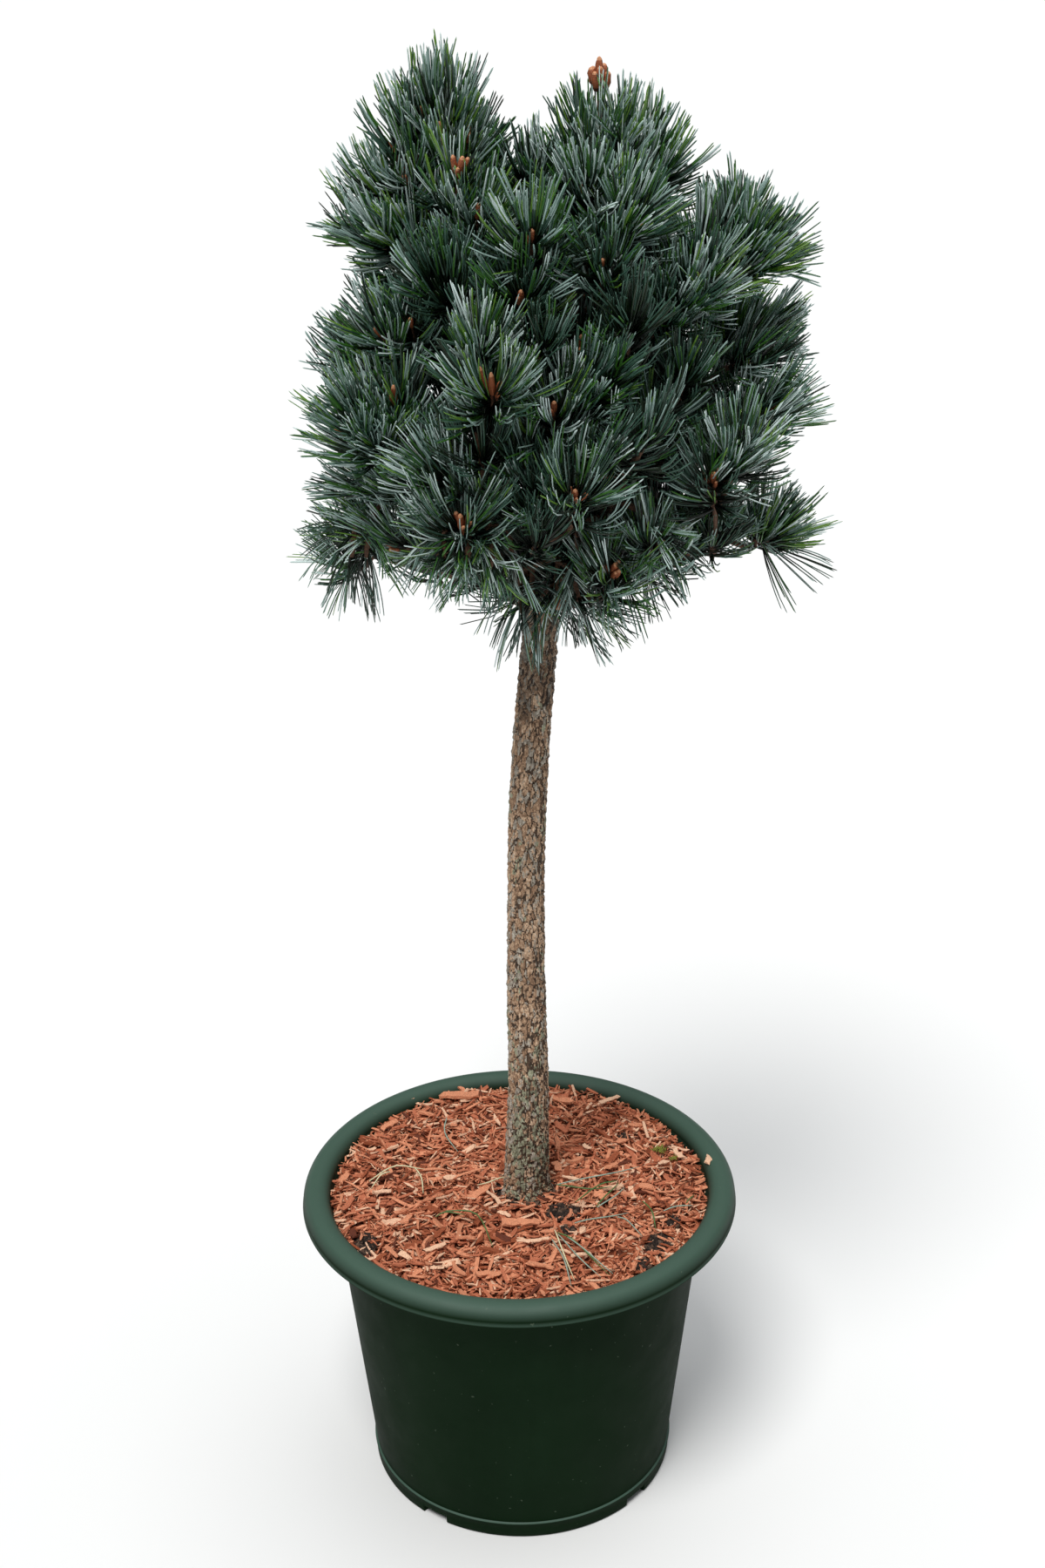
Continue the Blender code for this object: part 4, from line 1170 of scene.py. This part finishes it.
def tuft_needles(tuft):
    """Needles of one shoot's end, five to a bundle: way points, widths, outer sides."""
    size = tuft["size"]
    axis = tuft["axis"]
    u = unit(np.cross(axis, [0.31, 0.87, 0.39]))
    v = np.cross(axis, u)
    under = -(UP - axis * axis[2])
    tilt = np.linalg.norm(under)
    under = under / max(tilt, 1e-6)
    n = tuft["bundles"]
    shoot = SHOOT * size * tuft["reach"] * tuft["free"]
    # bundles sit all round the shoot, few on its shaded underside
    back, side = [], []
    k = 0
    while len(back) < n:
        k += 1
        turn = k * 2.39996 + RNG.normal(0, 0.30)
        way = math.cos(turn) * u + math.sin(turn) * v
        shade = max(0.0, float(way @ under)) * tilt
        if not tuft["hang"] and RNG.random() < (0.40 if tuft["clear"] else 1.15) * shade:
            continue
        far = RNG.random() ** 0.9
        if tuft["reach"] > 1.0:
            open_out = 14 + 38 * far ** 0.5 + RNG.normal(0, 10)
        else:
            open_out = 15 + 70 * far + RNG.normal(0, 11)
        open_out = min(1.75, max(0.10, math.radians(open_out)))
        side_way = way
        way = math.cos(open_out) * axis + math.sin(open_out) * way
        # the buds stand clear in front of their fan
        if tuft["clear"] and RNG.random() < 0.93:
            root = tuft["base"] - axis * (shoot * far) + side_way * 0.0018
            if veils(tuft, root, way, NEEDLE * size ** 0.8, unit(way + 0.62 * axis + 0.52 * UP)):
                continue
        back.append(far)
        side.append(way)
    back, way = np.array(back), np.array(side)
    side = units(way - np.einsum("ij,j->i", way, axis)[:, None] * axis)
    root = tuft["base"] - axis * (shoot * back)[:, None] + side * 0.0018
    length = NEEDLE * size ** 0.8 * (1.06 - 0.34 * RNG.random(n) ** 1.6) * (1.0 - 0.05 * back)
    # a bundle bows in towards its shoot and up to the light, or hangs
    lift = 0.52 * UP
    if tuft["hang"]:
        lift, length = -0.45 * UP, length * 1.12
    turned = 0.62 * axis + lift + 0.38 * RNG.standard_normal((n, 3))
    # five needles part a little from the bundle's middle
    p, q = across(way)
    around = (np.arange(5)[None, :] * (2 * math.pi / 5) + RNG.random(n)[:, None] * 6.28
              + RNG.normal(0, 0.25, (n, 5)))
    outer = np.cos(around)[..., None] * p[:, None] + np.sin(around)[..., None] * q[:, None]
    part = np.radians(RNG.uniform(2.0, 8.0, n))[:, None] * RNG.uniform(0.6, 1.5, (n, 5))
    ways = units(way[:, None] + np.tan(part)[..., None] * outer)
    ends = units(ways + turned[:, None] + 0.12 * RNG.standard_normal((n, 5, 3)))
    long = (length[:, None] * RNG.uniform(0.90, 1.06, (n, 5)))
    steps, girth = (FINE_STEPS, FINE_GIRTH) if tuft["fine"] else (PLAIN_STEPS, PLAIN_GIRTH)
    s = np.array(steps)[None, None, :, None]
    pts = (root[:, None, None] + 0.0006 * outer[:, :, None]
           + long[:, :, None, None] * (s * ways[:, :, None] + 0.5 * s ** 2 * (ends - ways)[:, :, None]))
    broad = np.interp(tuft["base"][2], [1.02, 1.17], [0.86, 1.06]) * (0.86 if tuft["hang"] else 1.0)
    wide = NEEDLE_WIDE * broad * RNG.uniform(0.82, 1.15, (n, 5))
    flip = units(outer + 0.9 * RNG.standard_normal((n, 5, 3)))
    return pts.reshape(-1, len(steps), 3), wide.reshape(-1), flip.reshape(-1, 3), n


def needle_topology(rings):
    """Triangles of one needle, with the side and the stretch that each lies on."""
    tri, side_of, stretch = [], [], []
    for k in range(rings - 1):
        for e in range(3):
            p, q = k * 3 + e, k * 3 + (e + 1) % 3
            tri += [(p, q, q + 3), (p, q + 3, p + 3)]
            side_of += [e, e]
            stretch += [k, k]
    last = 3 * (rings - 1)
    for e in range(3):
        tri.append((last + e, last + (e + 1) % 3, last + 3))
        side_of.append(e)
        stretch.append(rings - 1)
    tri.append((2, 1, 0))
    side_of.append(1)
    stretch.append(0)
    return np.array(tri), np.array(side_of), np.array(stretch)


def needle_mesh(pts, wide, flip, first):
    """Three-sided needles: vertices and faces."""
    n, rings = len(pts), pts.shape[1] - 1
    girth = FINE_GIRTH if rings == len(FINE_GIRTH) - 1 else PLAIN_GIRTH
    tang = units(np.gradient(pts, axis=1))
    a = units(np.cross(tang, flip[:, None, :]))
    b = np.cross(tang, a)
    co = []
    for k in range(rings):
        w = (wide * girth[k] * 0.5)[:, None]
        for ang in (math.pi / 2, math.pi * 7 / 6, math.pi * 11 / 6):
            co.append(pts[:, k] + w * (math.cos(ang) * a[:, k] + math.sin(ang) * b[:, k]))
    co.append(pts[:, rings])
    co = np.stack(co, 1)
    f = np.arange(n)[:, None, None] * co.shape[1] + needle_topology(rings)[0][None] + first
    return co.reshape(-1, 3), f.reshape(-1, 3)


# what a needle's tone turns to in its lower, shaded part
LOWER = np.array([1, 2, 4, 4, 6, 3, 6])


def needle_face_tones(tone, n, rings):
    tri, side_of, stretch = needle_topology(rings)
    tones = bundle_tones(tone, n)[:, side_of]
    low = stretch[None, :]
    half = (RNG.random(n * 5) < (0.75 if rings > 3 else 0.0))[:, None]
    tones = np.where((low == 0) | ((low == 1) & half), LOWER[tones], tones)
    return np.where(low == 0, LOWER[tones], tones).reshape(-1)


def bundle_tones(tone, n):
    """Pale inner sides and a green outer side for each needle, alike in a bundle."""
    pale_share = {0: (0.06, 0.30), 1: (0.28, 0.44), 2: (0.22, 0.38), 3: (0.46, 0.40), 4: (0.0, 0.06)}[tone]
    r = RNG.random(n)
    pale = np.where(r < pale_share[0], 0, np.where(r < sum(pale_share), 1, 2))
    r = RNG.random(n)
    fresh = {0: 0.05, 1: 0.18, 2: 0.42, 3: 0.20, 4: 0.0}[tone]
    deep = {0: 0.58, 1: 0.33, 2: 0.18, 3: 0.26, 4: 0.92}[tone]
    dark = np.where(r < fresh, 5, np.where(r < fresh + deep, 4, 3))
    pale, dark = np.repeat(pale, 5), np.repeat(dark, 5)
    r = RNG.random(n * 5)
    pale = np.where(r < 0.10, 2, np.where(r > 0.93, dark, pale))
    return np.stack([pale, dark, pale], 1)


def zone(tuft):
    c = tuft["base"]
    if c[2] > 1.215:
        return "needles_top"
    if c[1] > 0.05:
        return "needles_back_upper" if c[2] > 1.09 else "needles_back_lower"
    if c[2] > 1.085:
        return "needles_upper_left" if c[0] < 0.03 else "needles_upper_right"
    return "needles_lower_left" if c[0] < 0.03 else "needles_lower_right"


def build_needles(tufts):
    mats = [plain_material(name, colour, rough, 0.10, 120.0) for name, colour, rough in NEEDLE_TONES]
    for mat in mats:
        mat.node_tree.nodes["Principled BSDF"].inputs["Specular IOR Level"].default_value = 0.50
    zones = {}
    for t in tufts:
        zones.setdefault(zone(t), []).append(t)
    # a zone is split where it would hold too many needles for one piece
    groups = {}
    for key, members in zones.items():
        weight = np.array([t["bundles"] * 5 * (28 if t["fine"] else 16) for t in members])
        parts = int(np.ceil(weight.sum() / 175000.0))
        members = sorted(members, key=lambda t: t["base"][2])
        weight = np.array([t["bundles"] * 5 * (28 if t["fine"] else 16) for t in members])
        which = np.minimum(parts - 1, (np.cumsum(weight) - weight) * parts // weight.sum()).astype(int)
        for t, k in zip(members, which):
            groups.setdefault(key + ("_" + "abcdef"[k] if parts > 1 else ""), []).append(t)
    total = 0
    for key, members in sorted(groups.items()):
        verts, faces, tones, count = [], [], [], 0
        for t in members:
            pts, wide, flip, n = tuft_needles(t)
            co, f = needle_mesh(pts, wide, flip, count)
            verts.append(co)
            faces.append(f)
            tones.append(needle_face_tones(t["tone"], n, pts.shape[1] - 1))
            count += len(co)
        obj = mesh_object(key, np.concatenate(verts), np.concatenate(faces), mats, np.concatenate(tones))
        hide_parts(*sorted({t["mass"] for t in members}))
        total += len(obj.data.polygons)
        print(key, len(obj.data.polygons))
    print("needle triangles", total, "tufts", len(tufts))


BUD_STEPS = np.array([0.0, 0.08, 0.20, 0.33, 0.46, 0.58, 0.69, 0.79, 0.87, 0.935, 0.98, 1.0])
BUD_GIRTH = np.array([0.58, 0.80, 0.95, 1.03, 1.05, 1.02, 0.95, 0.84, 0.70, 0.53, 0.30, 0.03])


def bud_arrays(base, axis, length, width, count):
    """A bud: a blunt finger of small lapping scales."""
    cols = 12
    bend = across(unit(axis)[None])[0][0] * RNG.normal(0, 0.06)
    path = base + length * (BUD_STEPS[:, None] * unit(axis) + (BUD_STEPS[:, None] ** 2) * bend)
    co, faces = tube_arrays(path, 0.5 * width * BUD_GIRTH, cols, count)
    ring = np.repeat(np.arange(len(path)), cols)
    col = np.tile(np.arange(cols), len(path))
    lap = 1.0 + 0.075 * np.cos(col * (2 * math.pi / 4) + ring * math.pi / 2) + 0.035 * RNG.standard_normal(len(ring))
    mid = path[ring]
    co = mid + (co - mid) * lap[:, None]
    rows = np.repeat(np.arange(len(path) - 1), cols)
    tone = np.where(rows < 2, 0, np.where(rows > 7, 2, 1))
    return co, faces, tone


def bud_knot(base, axis, number, length, verts, faces, tones, count, width=None):
    """A longest bud in the middle, shorter ones round its foot."""
    p, q = across(unit(axis)[None])
    for k in range(number):
        off = np.zeros(3)
        if k == 0:
            way, long = axis, length
        else:
            a = k * 2.39996 + RNG.random()
            out = math.cos(a) * p[0] + math.sin(a) * q[0]
            way = unit(axis + RNG.uniform(0.15, 0.65) * out + 0.2 * UP)
            off = out * 0.0040
            long = length * RNG.uniform(0.50, 0.85)
        wide = (width or 0.0056) * RNG.uniform(0.85, 1.1) * (1.0 if k == 0 else 0.85)
        wide = min(wide, 0.55 * long)
        co, f, tone = bud_arrays(base + off - axis * 0.003, way, long + 0.003, wide, count)
        verts.append(co)
        faces.append(f)
        tones.append(tone)
        count += len(co)
    return count


def grow_shoots(tufts):
    """Each tuft's shoot grows from the nearest limb or older twig."""
    nodes = []
    for name, (path, radii) in LIMBS.items():
        if name == "trunk":
            keep = path[:, 2] > 0.86
            path, radii = path[keep], radii[keep]
        dense = smooth_path(path, 40)
        thick = np.interp(np.linspace(0, 1, 40), np.linspace(0, 1, len(path)), radii)
        t = units(np.gradient(dense, axis=0))
        nodes += [(p, d, r) for p, d, r in zip(dense, t, thick)]
    order = sorted(range(len(tufts)),
                   key=lambda k: min(np.linalg.norm(tufts[k]["base"] - n[0]) for n in nodes[::4]))
    for k in order:
        tuft = tufts[k]
        axis = tuft["axis"]
        spots = np.array([n[0] for n in nodes])
        dirs = np.array([n[1] for n in nodes])
        best = None
        # a shoot close to its limb is shorter, rather than bending back to it
        for share in (1.1, 0.95, 0.8, 0.65, 0.5):
            shoot = SHOOT * tuft["size"] * tuft["reach"] * share
            foot = tuft["base"] - axis * shoot
            gap = np.linalg.norm(spots - foot, axis=1)
            ways = units(foot - spots)
            bend = (1.0 - np.einsum("ij,ij->i", ways, dirs)) + 1.5 * (1.0 - ways @ axis)
            score = gap * (1.0 + 0.45 * bend) + 0.014 * (1.1 - share)
            j = int(np.argmin(score))
            if best is None or score[j] < best[0]:
                best = (score[j], share, foot, j)
        _, share, foot, j = best
        tuft["free"] = min(1.0, share)
        start, heading, thick = nodes[j]
        reach = np.linalg.norm(foot - start)
        ctrl1 = start + unit(0.45 * heading + unit(foot - start)) * reach * 0.33
        ctrl2 = foot - axis * min(reach * 0.30, 0.018)
        s = np.linspace(0, 1, 9)[:, None]
        curve = ((1 - s) ** 3 * start + 3 * (1 - s) ** 2 * s * ctrl1
                 + 3 * (1 - s) * s ** 2 * ctrl2 + s ** 3 * foot)
        shoot = np.linalg.norm(tuft["base"] - foot)
        tail = tuft["base"][None] - axis[None] * shoot * np.array([[0.5], [0.0]])
        r0 = min(0.0034, 0.75 * thick)
        radii = np.concatenate([np.linspace(r0, 0.0023, 9), [0.0022, 0.0017]])
        whole = np.concatenate([curve, tail])
        for _ in range(5):
            whole[1:-1] += 0.5 * (0.5 * (whole[:-2] + whole[2:]) - whole[1:-1])
        tuft["path"] = whole
        tuft["radii"] = radii * (1 + 0.12 * RNG.standard_normal(len(radii)))
        t = units(np.gradient(curve, axis=0))
        nodes += [(p, d, r) for p, d, r in zip(curve[2:], t[2:], radii[2:9])]


def build_twigs(tufts):
    verts, faces, count = [], [], 0
    bud_v, bud_f, bud_t, bud_n = [], [], [], 0
    for tuft in tufts:
        axis = tuft["axis"]
        co, f = tube_arrays(tuft["path"], tuft["radii"], 8, count)
        verts.append(co)
        faces.append(f)
        count += len(co)
        if tuft["buds"]:
            bud_n = bud_knot(tuft["base"], axis, tuft["buds"], tuft["bud"],
                             bud_v, bud_f, bud_t, bud_n)
    # the long stem at the very top
    (x0, y0), (x1, y1) = TOP_STEM
    name, way = mass_for(x0, y0)
    depth = float((MASS[name]["centre"] - CAM_AT) @ way) - 0.006
    foot = CAM_AT + ray(x0, y0) * depth
    tip = CAM_AT + ray(x1, y1) * (depth + 0.012)
    path = smooth_path([foot - 0.03 * UP, foot, 0.5 * (foot + tip) + [0.001, 0, 0], tip], 9)
    co, f = tube_arrays(path, np.linspace(0.0032, 0.0026, 9), 10, count)
    verts.append(co)
    faces.append(f)
    for k in range(9):
        a = k * 2.39996
        off = np.array([math.cos(a), math.sin(a), 0.0]) * (0.0 if k == 0 else 0.0045)
        base = tip + off - UP * (0.006 if k > 4 else 0.001)
        way = unit(UP + off * (60.0 if k > 4 else 36.0))
        co, f, tone = bud_arrays(base, way, RNG.uniform(0.013, 0.016) if k else 0.021,
                                 0.0066 * RNG.uniform(0.9, 1.1), bud_n)
        bud_v.append(co)
        bud_f.append(f)
        bud_t.append(tone)
        bud_n += len(co)
    mat = Nodes("twig_bark")
    fine = mat.noise(mat.coords(), 500.0, 4.0, 0.6)
    mat.colour(mat.ramp(fine, [(0.3, rgb(48, 34, 26)), (0.7, rgb(112, 78, 56))]))
    mat.rough(0.85)
    mat.bump(fine, 0.7, 0.001)
    twigs = mesh_object("twigs", np.concatenate(verts), np.concatenate(faces), [mat.mat])
    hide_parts(*sorted(MASS))
    bud_mats = [plain_material("bud_foot", rgb(92, 48, 30), 0.7, 0.45, 1100.0, 1.0),
                plain_material("bud_scale", rgb(154, 84, 50), 0.6, 0.50, 1100.0, 1.0),
                plain_material("bud_scale_pale", rgb(208, 146, 106), 0.55, 0.40, 1100.0, 1.0)]
    buds = mesh_object("buds", np.concatenate(bud_v), np.concatenate(bud_f), bud_mats,
                       np.concatenate(bud_t))
    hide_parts(*sorted(MASS))
    print("twig faces", len(twigs.data.polygons), "bud faces", len(buds.data.polygons))


TUFT_LIST = place_tufts()
grow_shoots(TUFT_LIST)
build_needles(TUFT_LIST)
build_twigs(TUFT_LIST)


# ------------------------------------------------------------------ stage
def build_stage():
    import bmesh
    scene = bpy.context.scene
    scene.view_settings.view_transform = "Standard"
    mesh = bpy.data.meshes.new("floor")
    bm = bmesh.new()
    bmesh.ops.create_grid(bm, x_segments=1, y_segments=1, size=90.0)
    bm.to_mesh(mesh)
    bm.free()
    floor = bpy.data.objects.new("floor", mesh)
    scene.collection.objects.link(floor)
    n = Nodes("floor_pale")
    n.colour((0.88, 0.88, 0.88, 1.0))
    n.rough(0.95)
    n.shader.inputs["Specular IOR Level"].default_value = 0.1
    mesh.materials.append(n.mat)
    floor.location.z = -0.0004
    floor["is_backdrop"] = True

    # dim soft light from all round, before a pale backdrop
    world = bpy.data.worlds.new("soft_sky")
    scene.world = world
    world.use_nodes = True
    tree = world.node_tree
    soft = tree.nodes["Background"]
    soft.inputs["Color"].default_value = (0.95, 0.98, 1.0, 1.0)
    soft.inputs["Strength"].default_value = 0.22
    pale = tree.nodes.new("ShaderNodeBackground")
    pale.inputs["Color"].default_value = (0.97, 0.98, 0.985, 1.0)
    pale.inputs["Strength"].default_value = 1.0
    seen = tree.nodes.new("ShaderNodeLightPath")
    both = tree.nodes.new("ShaderNodeMixShader")
    tree.links.new(seen.outputs["Is Camera Ray"], both.inputs[0])
    tree.links.new(soft.outputs[0], both.inputs[1])
    tree.links.new(pale.outputs[0], both.inputs[2])
    tree.links.new(both.outputs[0], tree.nodes["World Output"].inputs["Surface"])

    def sun(name, towards, strength, softness, colour=(1, 1, 1)):
        data = bpy.data.lights.new(name, "SUN")
        data.energy = strength
        data.angle = math.radians(softness)
        data.color = colour
        light = bpy.data.objects.new(name, data)
        scene.collection.objects.link(light)
        light.location = -Vector(towards) * 4
        light.rotation_mode = "QUATERNION"
        light.rotation_quaternion = Vector(towards).to_track_quat("-Z", "Y")

    sun("key", (0.22, 0.52, -1.0), 2.25, 24.0, (1.0, 0.995, 0.975))
    sun("top", (-0.10, -0.12, -1.0), 1.15, 60.0, (0.97, 0.99, 1.0))


build_stage()

low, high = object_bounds()
